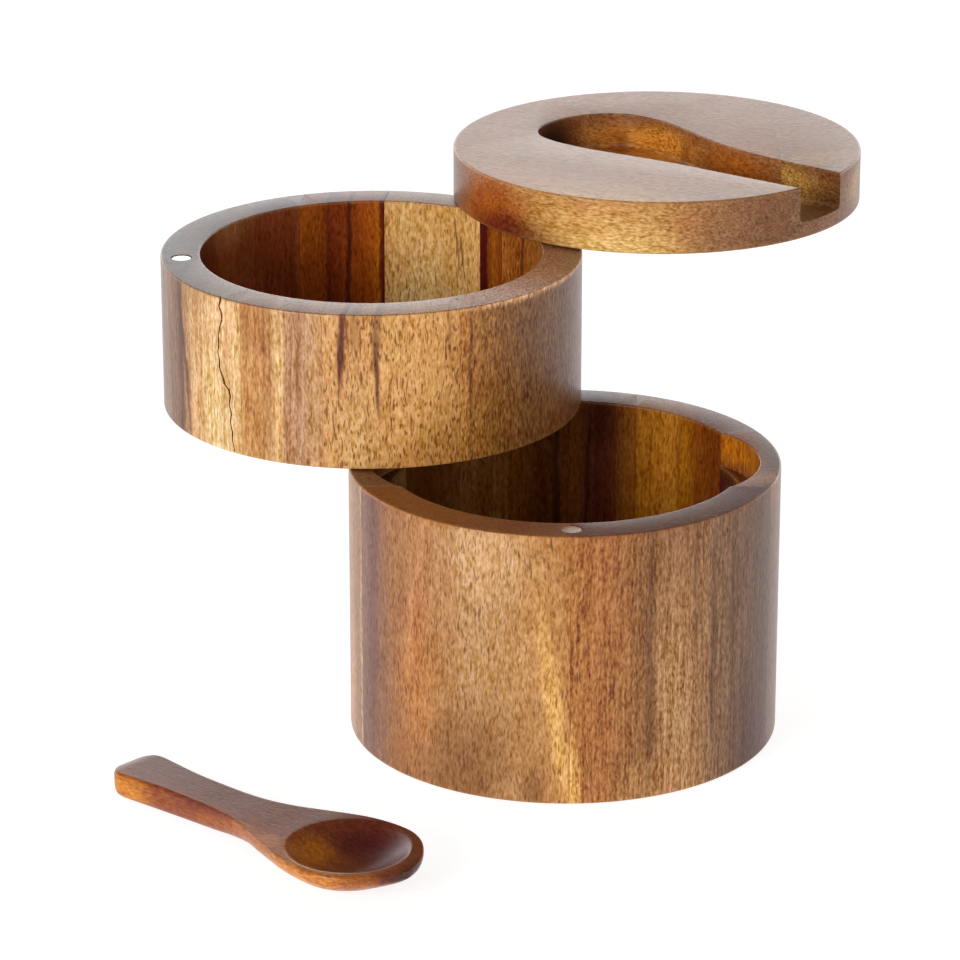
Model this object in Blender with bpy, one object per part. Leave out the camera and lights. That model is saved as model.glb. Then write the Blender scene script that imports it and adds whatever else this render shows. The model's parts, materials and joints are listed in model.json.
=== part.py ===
"""Two-tier swivel spice box of turned wood with a magnetic lid and a wooden spoon.

The box stands on z = 0 with the lower tier's axis on the world Z axis.
The middle tray and the lid are turned open about their two upright steel pins.
The spoon lies on the table in front, to the left of the box.
"""
import math

import bmesh
import bpy

MM = 0.001

# ---- shared turning sizes -------------------------------------------------
OUTER_R = 52.0 * MM
EDGE = 0.7 * MM
ROUND_STEPS = 96
GAP = 0.3 * MM

# ---- lower tier -----------------------------------------------------------
LOWER_TOP = 67.2 * MM
LOWER_FLOOR = 8.0 * MM
LOWER_WELL_R = 42.8 * MM
LOBE_OFFSET = 21.06 * MM
LOBE_R = 25.4 * MM
LOBE_DEPTH = 8.5 * MM
WELD = 0.001 * MM
LOWER_LAYER_Y = 18.8 * MM
LOWER_FRONT_SEAM_X = 0.6 * MM
LOWER_BACK_SEAM_X = 18.5 * MM

# ---- middle tray ----------------------------------------------------------
MIDDLE_BASE = LOWER_TOP + GAP
MIDDLE_TOP = 106.2 * MM
MIDDLE_FLOOR = MIDDLE_BASE + 6.5 * MM
MIDDLE_WELL_R = 42.2 * MM
MIDDLE_SEAM_TILT = math.radians(-7.95)
SEAM_AB = -0.467 * OUTER_R
SEAM_BC = -0.069 * OUTER_R
SEAM_CS = 0.423 * OUTER_R
SEAM_CD = 0.543 * OUTER_R

# ---- lid ------------------------------------------------------------------
LID_BASE = MIDDLE_TOP + GAP
LID_TOP = 119.8 * MM
RECESS_DEPTH = 9.2 * MM
RECESS_HEADING = math.radians(-39.25)
LID_SEAM_X = 0.595 * OUTER_R

# ---- swivels --------------------------------------------------------------
PIVOT_R = 47.19 * MM
MAGNET_RING_R = 46.9 * MM
LOWER_PIVOT_AT = math.radians(90.0)
MIDDLE_TURN = math.radians(-86.08)
LID_PIVOT_AT = math.radians(8.8)
LID_TURN = math.radians(-131.18)
LOWER_MAGNET_AT = math.radians(-89.1)
MIDDLE_MAGNET_AT = math.radians(187.7)

# ---- steel pins and magnets -----------------------------------------------
PIN_R = 2.0 * MM
PIN_CLEAR = 0.08 * MM
PIN_STEPS = 32
LOWER_PIN_LOW = 45.0 * MM
LOWER_PIN_HIGH = 84.0 * MM
LID_PIN_LOW = 90.0 * MM
LID_PIN_HIGH = 115.5 * MM
MAGNET_R = 2.5 * MM
MAGNET_T = 2.0 * MM
MAGNET_SINK = 0.15 * MM
MAGNET_CLEAR = 0.3 * MM
MAGNET_STEPS = 24

# ---- spoon ----------------------------------------------------------------
SPOON_HEADING = math.radians(-42.85)
SPOON_START = (-102.8 * MM, -42.35 * MM)
SPOON_BOWL_AT = 72.0 * MM
SPOON_BOWL_R = 14.2 * MM
SPOON_BOWL_DEPTH = 5.6 * MM
SPOON_EDGE = 0.6 * MM
SPOON_TOP = 7.7 * MM


def polar(radius, angle):
    """Point on a circle about the origin."""
    return (radius * math.cos(angle), radius * math.sin(angle))


def add2(a, b):
    """Sum of two plan points."""
    return (a[0] + b[0], a[1] + b[1])


def sub2(a, b):
    """Difference of two plan points."""
    return (a[0] - b[0], a[1] - b[1])


# Plan positions that follow from the swivels: each upper tier keeps its pin
# at PIVOT_R from its own centre while it turns about that pin.
LOWER_PIVOT = polar(PIVOT_R, LOWER_PIVOT_AT)
MIDDLE_C = sub2(LOWER_PIVOT, polar(PIVOT_R, LOWER_PIVOT_AT + MIDDLE_TURN))
LID_PIVOT = add2(MIDDLE_C, polar(PIVOT_R, LID_PIVOT_AT))
LID_C = sub2(LID_PIVOT, polar(PIVOT_R, LID_PIVOT_AT + LID_TURN))
LOWER_MAGNET = polar(MAGNET_RING_R, LOWER_MAGNET_AT)
MIDDLE_MAGNET = add2(MIDDLE_C, polar(MAGNET_RING_R, MIDDLE_MAGNET_AT))
UNDER_MAGNET = add2(MIDDLE_C, polar(MAGNET_RING_R, LOWER_MAGNET_AT + MIDDLE_TURN))
LID_MAGNET = add2(LID_C, polar(MAGNET_RING_R, MIDDLE_MAGNET_AT + LID_TURN))


def clear_scene():
    """Start from an empty scene."""
    for old in list(bpy.data.objects):
        bpy.data.objects.remove(old, do_unlink=True)


def make_collection(name, hidden):
    """Collection linked to the scene."""
    coll = bpy.data.collections.new(name)
    bpy.context.scene.collection.children.link(coll)
    coll.hide_render = hidden
    return coll


def make_material(name, colour, roughness, metallic):
    """Plain Principled material."""
    mat = bpy.data.materials.new(name)
    mat.use_nodes = True
    shader = mat.node_tree.nodes["Principled BSDF"]
    shader.inputs["Base Color"].default_value = (*colour, 1.0)
    shader.inputs["Roughness"].default_value = roughness
    shader.inputs["Metallic"].default_value = metallic
    mat.diffuse_color = (*colour, 1.0)
    return mat


def make_object(name, verts, faces, coll, origin=(0.0, 0.0, 0.0)):
    """Closed mesh object whose origin sits at the given world point."""
    mesh = bpy.data.meshes.new(name)
    local = [(v[0] - origin[0], v[1] - origin[1], v[2] - origin[2]) for v in verts]
    mesh.from_pydata(local, [], faces)
    bm = bmesh.new()
    bm.from_mesh(mesh)
    bmesh.ops.recalc_face_normals(bm, faces=bm.faces)
    bm.to_mesh(mesh)
    bm.free()
    obj = bpy.data.objects.new(name, mesh)
    obj.location = origin
    coll.objects.link(obj)
    return obj


def weld(obj):
    """Merge the points of rings that coincide."""
    bm = bmesh.new()
    bm.from_mesh(obj.data)
    bmesh.ops.remove_doubles(bm, verts=bm.verts, dist=WELD)
    bmesh.ops.recalc_face_normals(bm, faces=bm.faces)
    bm.to_mesh(obj.data)
    bm.free()


def stack_rings(rings):
    """Faces that join equal rings bottom to top, with both ends capped."""
    count = len(rings[0])
    verts = [v for ring in rings for v in ring]
    faces = [tuple(reversed(range(count)))]
    for level in range(len(rings) - 1):
        low = level * count
        high = low + count
        for i in range(count):
            j = (i + 1) % count
            faces.append((low + i, low + j, high + j, high + i))
    top = (len(rings) - 1) * count
    faces.append(tuple(top + i for i in range(count)))
    return verts, faces


def circle_ring(centre, radius, z, steps):
    """Ring of points on a level circle."""
    ring = []
    for i in range(steps):
        x, y = polar(radius, 2.0 * math.pi * (i + 0.5) / steps)
        ring.append((centre[0] + x, centre[1] + y, z))
    return ring


def turned_disc(name, centre, radius, z0, z1, edge, steps, coll, origin):
    """Solid disc with eased lower and upper edges."""
    rings = [
        circle_ring(centre, radius - edge, z0, steps),
        circle_ring(centre, radius, z0 + edge, steps),
        circle_ring(centre, radius, z1 - edge, steps),
        circle_ring(centre, radius - edge, z1, steps),
    ]
    verts, faces = stack_rings(rings)
    return make_object(name, verts, faces, coll, origin)


def mouth_radius(angle, extra):
    """Outline of the lower well's mouth: the round bore with a scallop at each side."""
    bore = LOWER_WELL_R + extra
    lobe = LOBE_R + extra
    across = LOBE_OFFSET * math.sin(angle)
    reach = LOBE_OFFSET * abs(math.cos(angle)) + math.sqrt(lobe * lobe - across * across)
    return max(bore, reach)


def mouth_ring(extra, z):
    """Ring of points on the outline of the lower well's mouth."""
    ring = []
    for i in range(ROUND_STEPS):
        angle = 2.0 * math.pi * (i + 0.5) / ROUND_STEPS
        x, y = polar(mouth_radius(angle, extra), angle)
        ring.append((x, y, z))
    return ring


def box(name, centre, half, heading, z0, z1, coll):
    """Upright box turned in plan by the given heading."""
    cos_h, sin_h = math.cos(heading), math.sin(heading)
    corners = []
    for sx, sy in ((-1, -1), (1, -1), (1, 1), (-1, 1)):
        u, v = sx * half[0], sy * half[1]
        corners.append((centre[0] + u * cos_h - v * sin_h, centre[1] + u * sin_h + v * cos_h))
    rings = [[(x, y, z) for x, y in corners] for z in (z0, z1)]
    verts, faces = stack_rings(rings)
    return make_object(name, verts, faces, coll)


def slab(name, centre, heading, u_range, v_range, z0, z1, coll):
    """Box given by its ranges along and across a heading, seam gaps included."""
    cos_h, sin_h = math.cos(heading), math.sin(heading)
    mid_u = 0.5 * (u_range[0] + u_range[1])
    mid_v = 0.5 * (v_range[0] + v_range[1])
    half = (0.5 * (u_range[1] - u_range[0] - GAP), 0.5 * (v_range[1] - v_range[0] - GAP))
    place = (
        centre[0] + mid_u * cos_h - mid_v * sin_h,
        centre[1] + mid_u * sin_h + mid_v * cos_h,
    )
    return box(name, place, half, heading, z0, z1, coll)


def cut(obj, cutter, operation="DIFFERENCE"):
    """Exact Boolean modifier."""
    mod = obj.modifiers.new(operation.title() + "_" + cutter.name, "BOOLEAN")
    mod.operation = operation
    mod.solver = "EXACT"
    mod.object = cutter


def finish(obj, mat, smooth=True):
    """Material and shading."""
    obj.data.materials.clear()
    obj.data.materials.append(mat)
    for poly in obj.data.polygons:
        poly.use_smooth = smooth and len(poly.vertices) == 4


def round_cutter(name, centre, radius, z0, z1, steps, coll):
    """Plain cylinder that bores a hole."""
    rings = [circle_ring(centre, radius, z, steps) for z in (z0, z1)]
    verts, faces = stack_rings(rings)
    return make_object(name, verts, faces, coll)


# ---- lower tier -----------------------------------------------------------
def build_lower_well_cutter(coll):
    """Round bore through the lower wall.

    A scallop with a flat ledge widens each side of its mouth, and the mouth
    flares to ease the rim.
    """
    ledge = LOWER_TOP - LOBE_DEPTH
    rings = [
        circle_ring((0.0, 0.0), LOWER_WELL_R, -2.0 * MM, ROUND_STEPS),
        circle_ring((0.0, 0.0), LOWER_WELL_R, ledge, ROUND_STEPS),
        mouth_ring(0.0, ledge),
        mouth_ring(0.0, LOWER_TOP - EDGE),
        mouth_ring(EDGE, LOWER_TOP),
        mouth_ring(EDGE, LOWER_TOP + 2.0 * MM),
    ]
    verts, faces = stack_rings(rings)
    obj = make_object("cut_lower_well", verts, faces, coll)
    weld(obj)
    return obj


def build_lower_board(name, x_range, y_range, mat, coll, cutters, well, holes):
    """One wall board of the lower tier."""
    obj = turned_disc(
        name, (0.0, 0.0), OUTER_R, 0.0, LOWER_TOP, EDGE, ROUND_STEPS, coll, (0.0, 0.0, 0.0)
    )
    cut(obj, well)
    keep = slab("keep_" + name, (0.0, 0.0), 0.0, x_range, y_range, -3.0 * MM, LOWER_TOP + 3.0 * MM, cutters)
    cut(obj, keep, "INTERSECT")
    for hole in holes:
        cut(obj, hole)
    finish(obj, mat)
    return obj


def build_lower_floor(mat, coll):
    """Bottom disc let into the lower bore, flush with the wall's foot."""
    radius = LOWER_WELL_R - GAP
    rings = [
        circle_ring((0.0, 0.0), radius - EDGE, 0.0, ROUND_STEPS),
        circle_ring((0.0, 0.0), radius, EDGE, ROUND_STEPS),
        circle_ring((0.0, 0.0), radius, LOWER_FLOOR, ROUND_STEPS),
    ]
    verts, faces = stack_rings(rings)
    obj = make_object("lower_floor", verts, faces, coll)
    finish(obj, mat)
    return obj


# ---- middle tray ----------------------------------------------------------
def build_middle_well_cutter(coll):
    """Round bore through the middle tray's wall, flared at its mouth."""
    rings = [
        circle_ring(MIDDLE_C, MIDDLE_WELL_R, MIDDLE_BASE - 2.0 * MM, ROUND_STEPS),
        circle_ring(MIDDLE_C, MIDDLE_WELL_R, MIDDLE_TOP - EDGE, ROUND_STEPS),
        circle_ring(MIDDLE_C, MIDDLE_WELL_R + EDGE, MIDDLE_TOP, ROUND_STEPS),
        circle_ring(MIDDLE_C, MIDDLE_WELL_R + EDGE, MIDDLE_TOP + 2.0 * MM, ROUND_STEPS),
    ]
    verts, faces = stack_rings(rings)
    return make_object("cut_middle_well", verts, faces, coll)


def build_middle_board(name, u_range, v_range, mat, coll, cutters, well, holes):
    """One wall board of the middle tray, cut along the tray's seam heading."""
    origin = (LOWER_PIVOT[0], LOWER_PIVOT[1], MIDDLE_BASE)
    obj = turned_disc(
        name, MIDDLE_C, OUTER_R, MIDDLE_BASE, MIDDLE_TOP, EDGE, ROUND_STEPS, coll, origin
    )
    cut(obj, well)
    keep = slab(
        "keep_" + name, MIDDLE_C, MIDDLE_SEAM_TILT, u_range, v_range,
        MIDDLE_BASE - 3.0 * MM, MIDDLE_TOP + 3.0 * MM, cutters,
    )
    cut(obj, keep, "INTERSECT")
    for hole in holes:
        cut(obj, hole)
    finish(obj, mat)
    return obj


def build_middle_floor(mat, coll):
    """Bottom disc let into the middle tray's bore."""
    origin = (LOWER_PIVOT[0], LOWER_PIVOT[1], MIDDLE_BASE)
    radius = MIDDLE_WELL_R - GAP
    rings = [
        circle_ring(MIDDLE_C, radius - EDGE, MIDDLE_BASE, ROUND_STEPS),
        circle_ring(MIDDLE_C, radius, MIDDLE_BASE + EDGE, ROUND_STEPS),
        circle_ring(MIDDLE_C, radius, MIDDLE_FLOOR, ROUND_STEPS),
    ]
    verts, faces = stack_rings(rings)
    obj = make_object("middle_floor", verts, faces, coll, origin)
    finish(obj, mat)
    return obj


# ---- lid ------------------------------------------------------------------
# Recess stations along its heading: (distance from the lid's centre,
# edge on the side away from the pin, edge on the pin's side), all in mm.
# The round end holds the spoon's bowl; the narrow end runs out at the rim.
RECESS_STATIONS = (
    (-33.9, 2.4, -2.2),
    (-33.2, 6.4, -6.0),
    (-31.2, 11.0, -9.4),
    (-27.6, 15.2, -12.3),
    (-22.0, 18.2, -13.8),
    (-16.0, 18.7, -14.1),
    (-10.0, 17.9, -13.8),
    (-3.0, 15.8, -12.9),
    (4.0, 13.2, -11.8),
    (11.0, 10.9, -10.9),
    (18.0, 9.3, -10.4),
    (26.0, 8.4, -10.1),
    (34.0, 8.1, -9.7),
    (60.0, 8.3, -8.2),
)


def recess_outline(extra):
    """Closed plan outline of the spoon recess, grown outward by extra."""
    left = []
    right = []
    for u, far, near in RECESS_STATIONS:
        end = extra if u < -30.0 else 0.0
        left.append((u * MM - end, far * MM + extra))
        right.append((u * MM - end, near * MM - extra))
    outline = list(reversed(left)) + right
    cos_h, sin_h = math.cos(RECESS_HEADING), math.sin(RECESS_HEADING)
    return [
        (LID_C[0] + u * cos_h - v * sin_h, LID_C[1] + u * sin_h + v * cos_h)
        for u, v in outline
    ]


def build_recess_cutter(coll):
    """Spoon-shaped pocket open at the rim, with eased upper edges."""
    floor_z = LID_TOP - RECESS_DEPTH
    levels = (
        (floor_z, 0.0),
        (LID_TOP - EDGE, 0.0),
        (LID_TOP, EDGE),
        (LID_TOP + 2.0 * MM, EDGE),
    )
    rings = [[(x, y, z) for x, y in recess_outline(grow)] for z, grow in levels]
    verts, faces = stack_rings(rings)
    return make_object("cut_recess", verts, faces, coll)


def build_lid_board(name, x_range, mat, coll, cutters, recess, holes):
    """One of the two boards glued up for the lid."""
    origin = (LID_PIVOT[0], LID_PIVOT[1], LID_BASE)
    obj = turned_disc(name, LID_C, OUTER_R, LID_BASE, LID_TOP, EDGE, ROUND_STEPS, coll, origin)
    keep = slab(
        "keep_" + name, LID_C, 0.0, x_range, (-60.0 * MM, 60.0 * MM),
        LID_BASE - 3.0 * MM, LID_TOP + 3.0 * MM, cutters,
    )
    cut(obj, keep, "INTERSECT")
    cut(obj, recess)
    for hole in holes:
        cut(obj, hole)
    finish(obj, mat)
    return obj


# ---- steel ----------------------------------------------------------------
def build_pin(name, centre, z0, z1, mat, coll, origin):
    """Steel swivel pin with eased ends."""
    obj = turned_disc(name, centre, PIN_R, z0, z1, 0.3 * MM, PIN_STEPS, coll, origin)
    finish(obj, mat)
    return obj


def build_magnet(name, centre, z0, mat, coll, origin):
    """Plated disc magnet."""
    obj = turned_disc(name, centre, MAGNET_R, z0, z0 + MAGNET_T, 0.2 * MM, MAGNET_STEPS, coll, origin)
    finish(obj, mat)
    return obj


# ---- spoon ----------------------------------------------------------------
# Stations along the spoon, all in mm: (distance from the handle's end,
# half width, top height, underside height, squareness of the underside).
SPOON_STATIONS = (
    (0.0, 5.2, 6.6, 0.6, 4.0),
    (1.2, 6.7, 6.9, 0.2, 4.5),
    (3.4, 7.3, 7.0, 0.0, 4.5),
    (9.0, 6.7, 7.0, 0.0, 4.5),
    (17.0, 6.2, 7.0, 0.0, 4.5),
    (25.0, 6.1, 7.0, 0.2, 4.2),
    (33.0, 6.3, 7.0, 0.5, 3.8),
    (40.0, 7.0, 7.1, 1.0, 3.2),
    (47.0, 8.8, 7.2, 1.4, 2.6),
    (53.0, 11.2, 7.3, 1.2, 2.3),
    (59.0, 13.4, 7.5, 0.7, 2.1),
    (64.0, 15.1, 7.6, 0.3, 2.0),
    (69.0, 16.0, 7.7, 0.0, 2.0),
    (74.0, 16.3, 7.7, 0.0, 2.0),
    (78.0, 15.7, 7.7, 0.4, 2.0),
    (82.0, 13.7, 7.7, 1.4, 2.0),
    (85.0, 11.1, 7.6, 2.6, 2.0),
    (87.6, 8.0, 7.6, 3.7, 2.0),
    (89.4, 5.0, 7.5, 4.6, 2.0),
    (90.4, 1.8, 7.2, 5.4, 2.0),
)
SPOON_UNDER_STEPS = 14
SPOON_TOP_STEPS = 6


def spoon_point(u, v, z):
    """World point from a spoon-local one."""
    cos_h, sin_h = math.cos(SPOON_HEADING), math.sin(SPOON_HEADING)
    x = SPOON_START[0] + u * cos_h - v * sin_h
    y = SPOON_START[1] + u * sin_h + v * cos_h
    return (x, y, z)


def spoon_section(u, half, top, under, square):
    """Cross-section: flat top with eased edges over a rounded underside."""
    edge = min(SPOON_EDGE, 0.35 * half)
    drop = min(SPOON_EDGE, 0.3 * (top - under))
    ring = []
    for i in range(SPOON_TOP_STEPS + 1):
        t = 1.0 - 2.0 * i / SPOON_TOP_STEPS
        ring.append(spoon_point(u, (half - edge) * t, top))
    depth = top - drop - under
    for i in range(SPOON_UNDER_STEPS + 1):
        phi = math.pi * i / SPOON_UNDER_STEPS
        side = math.cos(phi)
        down = math.sin(phi)
        v = -half * math.copysign(abs(side) ** (2.0 / square), side)
        z = top - drop - depth * abs(down) ** (2.0 / square)
        ring.append(spoon_point(u, v, z))
    return ring


def build_bowl_cutter(coll):
    """Flattened ball that hollows the spoon's bowl."""
    top = SPOON_TOP
    radius = (SPOON_BOWL_R ** 2 + SPOON_BOWL_DEPTH ** 2) / (2.0 * SPOON_BOWL_DEPTH)
    centre_z = top + radius - SPOON_BOWL_DEPTH
    steps = 36
    levels = 9
    sweep = math.asin(SPOON_BOWL_R / radius) * 1.12
    rings = []
    for k in range(levels):
        tilt = sweep * (k + 1) / levels
        ring = []
        for i in range(steps):
            angle = 2.0 * math.pi * i / steps
            reach = radius * math.sin(tilt)
            u = SPOON_BOWL_AT + reach * math.cos(angle)
            v = reach * math.sin(angle)
            ring.append(spoon_point(u, v, centre_z - radius * math.cos(tilt)))
        rings.append(ring)
    verts, faces = stack_rings(rings)
    low_centre = len(verts)
    verts.append(spoon_point(SPOON_BOWL_AT, 0.0, top - SPOON_BOWL_DEPTH))
    faces = faces[1:]
    for i in range(steps):
        faces.append((low_centre, (i + 1) % steps, i))
    return make_object("cut_spoon_bowl", verts, faces, coll)


def build_spoon(mat, coll, bowl):
    """Wooden spoon carved in one piece."""
    rings = []
    for u, half, top, under, square in SPOON_STATIONS:
        rings.append(spoon_section(u * MM, half * MM, top * MM, under * MM, square))
    verts, faces = stack_rings(rings)
    origin = spoon_point(SPOON_BOWL_AT, 0.0, 0.0)
    obj = make_object("spoon", verts, faces, coll, origin)
    cut(obj, bowl)
    finish(obj, mat)
    return obj


def main():
    """Build the whole box."""
    clear_scene()
    coll = make_collection("swivel_spice_box", False)
    cutters = make_collection("cutters", True)

    far = 60.0 * MM
    lower_well = build_lower_well_cutter(cutters)
    middle_well = build_middle_well_cutter(cutters)
    recess = build_recess_cutter(cutters)
    bowl = build_bowl_cutter(cutters)
    bore = PIN_R + PIN_CLEAR
    pocket_r = MAGNET_R + MAGNET_CLEAR
    pocket = MAGNET_T + MAGNET_SINK + MAGNET_CLEAR
    over = 1.0 * MM
    lower_pin_bore = round_cutter(
        "cut_lower_pin", LOWER_PIVOT, bore, LOWER_PIN_LOW - GAP, LOWER_PIN_HIGH + GAP,
        PIN_STEPS, cutters,
    )
    lid_pin_bore = round_cutter(
        "cut_lid_pin", LID_PIVOT, bore, LID_PIN_LOW - GAP, LID_PIN_HIGH + GAP,
        PIN_STEPS, cutters,
    )
    lower_magnet_hole = round_cutter(
        "cut_lower_magnet", LOWER_MAGNET, pocket_r, LOWER_TOP - pocket, LOWER_TOP + over,
        MAGNET_STEPS, cutters,
    )
    top_magnet_hole = round_cutter(
        "cut_top_magnet", MIDDLE_MAGNET, pocket_r, MIDDLE_TOP - pocket, MIDDLE_TOP + over,
        MAGNET_STEPS, cutters,
    )
    under_magnet_hole = round_cutter(
        "cut_under_magnet", UNDER_MAGNET, pocket_r, MIDDLE_BASE - over, MIDDLE_BASE + pocket,
        MAGNET_STEPS, cutters,
    )
    lid_magnet_hole = round_cutter(
        "cut_lid_magnet", LID_MAGNET, pocket_r, LID_BASE - over, LID_BASE + pocket,
        MAGNET_STEPS, cutters,
    )

    # Lower tier: two front boards, a thinner board at each side, two back
    # boards, and the bottom disc.
    lay = LOWER_LAYER_Y
    boards = (
        ("lower_front_left_board", (-far, LOWER_FRONT_SEAM_X), (-far, -lay),
         (0.40, 0.22, 0.10), (lower_magnet_hole,)),
        ("lower_front_right_board", (LOWER_FRONT_SEAM_X, far), (-far, -lay),
         (0.44, 0.27, 0.13), (lower_magnet_hole,)),
        ("lower_left_board", (-far, 0.0), (-lay, lay), (0.38, 0.20, 0.11), ()),
        ("lower_right_board", (0.0, far), (-lay, lay), (0.33, 0.20, 0.12), ()),
        ("lower_back_left_board", (-far, LOWER_BACK_SEAM_X), (lay, far),
         (0.36, 0.20, 0.10), (lower_pin_bore,)),
        ("lower_back_right_board", (LOWER_BACK_SEAM_X, far), (lay, far),
         (0.42, 0.25, 0.11), ()),
    )
    for name, x_range, y_range, colour, holes in boards:
        mat = make_material(name, colour, 0.45, 0.0)
        build_lower_board(name, x_range, y_range, mat, coll, cutters, lower_well, holes)
    build_lower_floor(make_material("lower_floor", (0.35, 0.19, 0.09), 0.5, 0.0), coll)

    # Middle tray: a curved board at each end, narrower boards between them,
    # and the bottom disc.
    trays = (
        ("middle_end_board_left", (-far, SEAM_AB), (-far, far),
         (0.34, 0.19, 0.08), (top_magnet_hole, under_magnet_hole)),
        ("middle_front_board_left", (SEAM_AB, SEAM_BC), (-far, 0.0), (0.45, 0.27, 0.12), ()),
        ("middle_back_board_left", (SEAM_AB, SEAM_BC), (0.0, far), (0.36, 0.19, 0.08), ()),
        ("middle_front_board_right", (SEAM_BC, SEAM_CD), (-far, 0.0), (0.48, 0.29, 0.12), ()),
        ("middle_back_board_right", (SEAM_BC, SEAM_CS), (0.0, far), (0.52, 0.32, 0.15), ()),
        ("middle_back_strip", (SEAM_CS, SEAM_CD), (0.0, far), (0.42, 0.22, 0.09), ()),
        ("middle_end_board_right", (SEAM_CD, far), (-far, far),
         (0.40, 0.23, 0.11), (lower_pin_bore, lid_pin_bore)),
    )
    for name, u_range, v_range, colour, holes in trays:
        mat = make_material(name, colour, 0.45, 0.0)
        build_middle_board(name, u_range, v_range, mat, coll, cutters, middle_well, holes)
    build_middle_floor(make_material("middle_floor", (0.36, 0.20, 0.09), 0.5, 0.0), coll)

    # Lid: a wide board and a narrow end board.
    lids = (
        ("lid_main_board", (-far, LID_SEAM_X), (0.43, 0.26, 0.12), (lid_pin_bore, lid_magnet_hole)),
        ("lid_end_board", (LID_SEAM_X, far), (0.50, 0.33, 0.18), ()),
    )
    for name, x_range, colour, holes in lids:
        mat = make_material(name, colour, 0.4, 0.0)
        build_lid_board(name, x_range, mat, coll, cutters, recess, holes)

    # Swivel pins.
    root = (0.0, 0.0, 0.0)
    tray_axis = (LOWER_PIVOT[0], LOWER_PIVOT[1], MIDDLE_BASE)
    lid_axis = (LID_PIVOT[0], LID_PIVOT[1], LID_BASE)
    build_pin(
        "lower_pivot_pin", LOWER_PIVOT, LOWER_PIN_LOW, LOWER_PIN_HIGH,
        make_material("lower_pivot_pin", (0.62, 0.62, 0.60), 0.3, 1.0), coll, root,
    )
    build_pin(
        "lid_pivot_pin", LID_PIVOT, LID_PIN_LOW, LID_PIN_HIGH,
        make_material("lid_pivot_pin", (0.62, 0.62, 0.60), 0.3, 1.0), coll, tray_axis,
    )

    # Magnets that hold the tiers shut.
    sink = MAGNET_SINK
    magnets = (
        ("lower_rim_magnet", LOWER_MAGNET, LOWER_TOP - sink - MAGNET_T, root),
        ("middle_rim_magnet", MIDDLE_MAGNET, MIDDLE_TOP - sink - MAGNET_T, tray_axis),
        ("middle_under_magnet", UNDER_MAGNET, MIDDLE_BASE + sink, tray_axis),
        ("lid_magnet", LID_MAGNET, LID_BASE + sink, lid_axis),
    )
    for name, centre, z0, origin in magnets:
        mat = make_material(name, (0.80, 0.79, 0.77), 0.22, 1.0)
        build_magnet(name, centre, z0, mat, coll, origin)

    build_spoon(make_material("spoon", (0.30, 0.13, 0.06), 0.4, 0.0), coll, bowl)

    for obj in cutters.objects:
        obj.hide_render = True
        obj.display_type = "WIRE"


main()
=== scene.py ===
"""Looks of a two-tier swivel spice box in acacia wood, with its magnets and spoon.

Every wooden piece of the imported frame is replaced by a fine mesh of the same
size and place. Woods are solid procedural materials: their grain, pores and
colour bands run through the piece, so cut faces show them too.
"""
import json
import math

import bmesh
import bpy
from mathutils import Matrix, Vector

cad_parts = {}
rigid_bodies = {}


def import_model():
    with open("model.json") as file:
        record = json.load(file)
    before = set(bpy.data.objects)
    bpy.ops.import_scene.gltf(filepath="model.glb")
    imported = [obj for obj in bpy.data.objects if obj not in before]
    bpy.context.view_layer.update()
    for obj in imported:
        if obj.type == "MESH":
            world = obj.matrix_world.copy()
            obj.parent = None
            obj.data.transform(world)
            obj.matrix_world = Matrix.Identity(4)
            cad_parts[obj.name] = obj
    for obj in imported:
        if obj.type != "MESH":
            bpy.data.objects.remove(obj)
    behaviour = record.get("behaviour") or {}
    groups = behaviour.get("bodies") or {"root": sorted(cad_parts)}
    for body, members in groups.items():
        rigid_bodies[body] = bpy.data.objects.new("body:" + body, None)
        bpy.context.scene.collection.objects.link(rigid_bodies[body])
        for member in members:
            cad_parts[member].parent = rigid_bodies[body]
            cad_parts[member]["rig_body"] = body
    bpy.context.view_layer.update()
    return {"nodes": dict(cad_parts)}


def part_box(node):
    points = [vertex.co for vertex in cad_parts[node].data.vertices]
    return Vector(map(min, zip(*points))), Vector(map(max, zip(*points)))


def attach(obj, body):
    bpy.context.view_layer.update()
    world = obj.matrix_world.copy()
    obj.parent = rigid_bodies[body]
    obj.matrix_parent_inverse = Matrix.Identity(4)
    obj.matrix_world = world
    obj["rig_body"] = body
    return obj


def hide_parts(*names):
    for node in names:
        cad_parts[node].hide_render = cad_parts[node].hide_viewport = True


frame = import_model()

MM = 0.001
TINY = 1e-7
WHITE = (1.0, 1.0, 1.0, 1.0)

# ---- camera and light ----
CAMERA_AT = (-0.02034, -1.00528, 0.43199)
CAMERA_PITCH = 0.3527
CAMERA_LENS = 166.9
ZENITH_LIGHT = 0.16
FRONT_LIGHT = 0.85
BACK_LIGHT = 2.5
# Heights and depths, on the unit sphere of directions, between which the light changes.
LOW_LIGHT_FADE = (0.1, 0.8)
FRONT_TO_BACK = (-0.3, 0.7)
KEY_AT = (-0.95, -1.15, 0.55)
KEY_AIM = (0.0, 0.0, 0.06)
KEY_SIZE = 0.6
KEY_ENERGY = 11.0
FLOOR_SIZE = 6.0
FLOOR_DROP = 0.0002
FLOOR_GLOW = 0.82

# ---- turned shapes ----
ROUND_STEPS = 384
EASE = 0.55 * MM
EASE_STEPS = 6
INNER_EASE = 0.45 * MM
WALL_FOOT = 0.4 * MM
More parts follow.
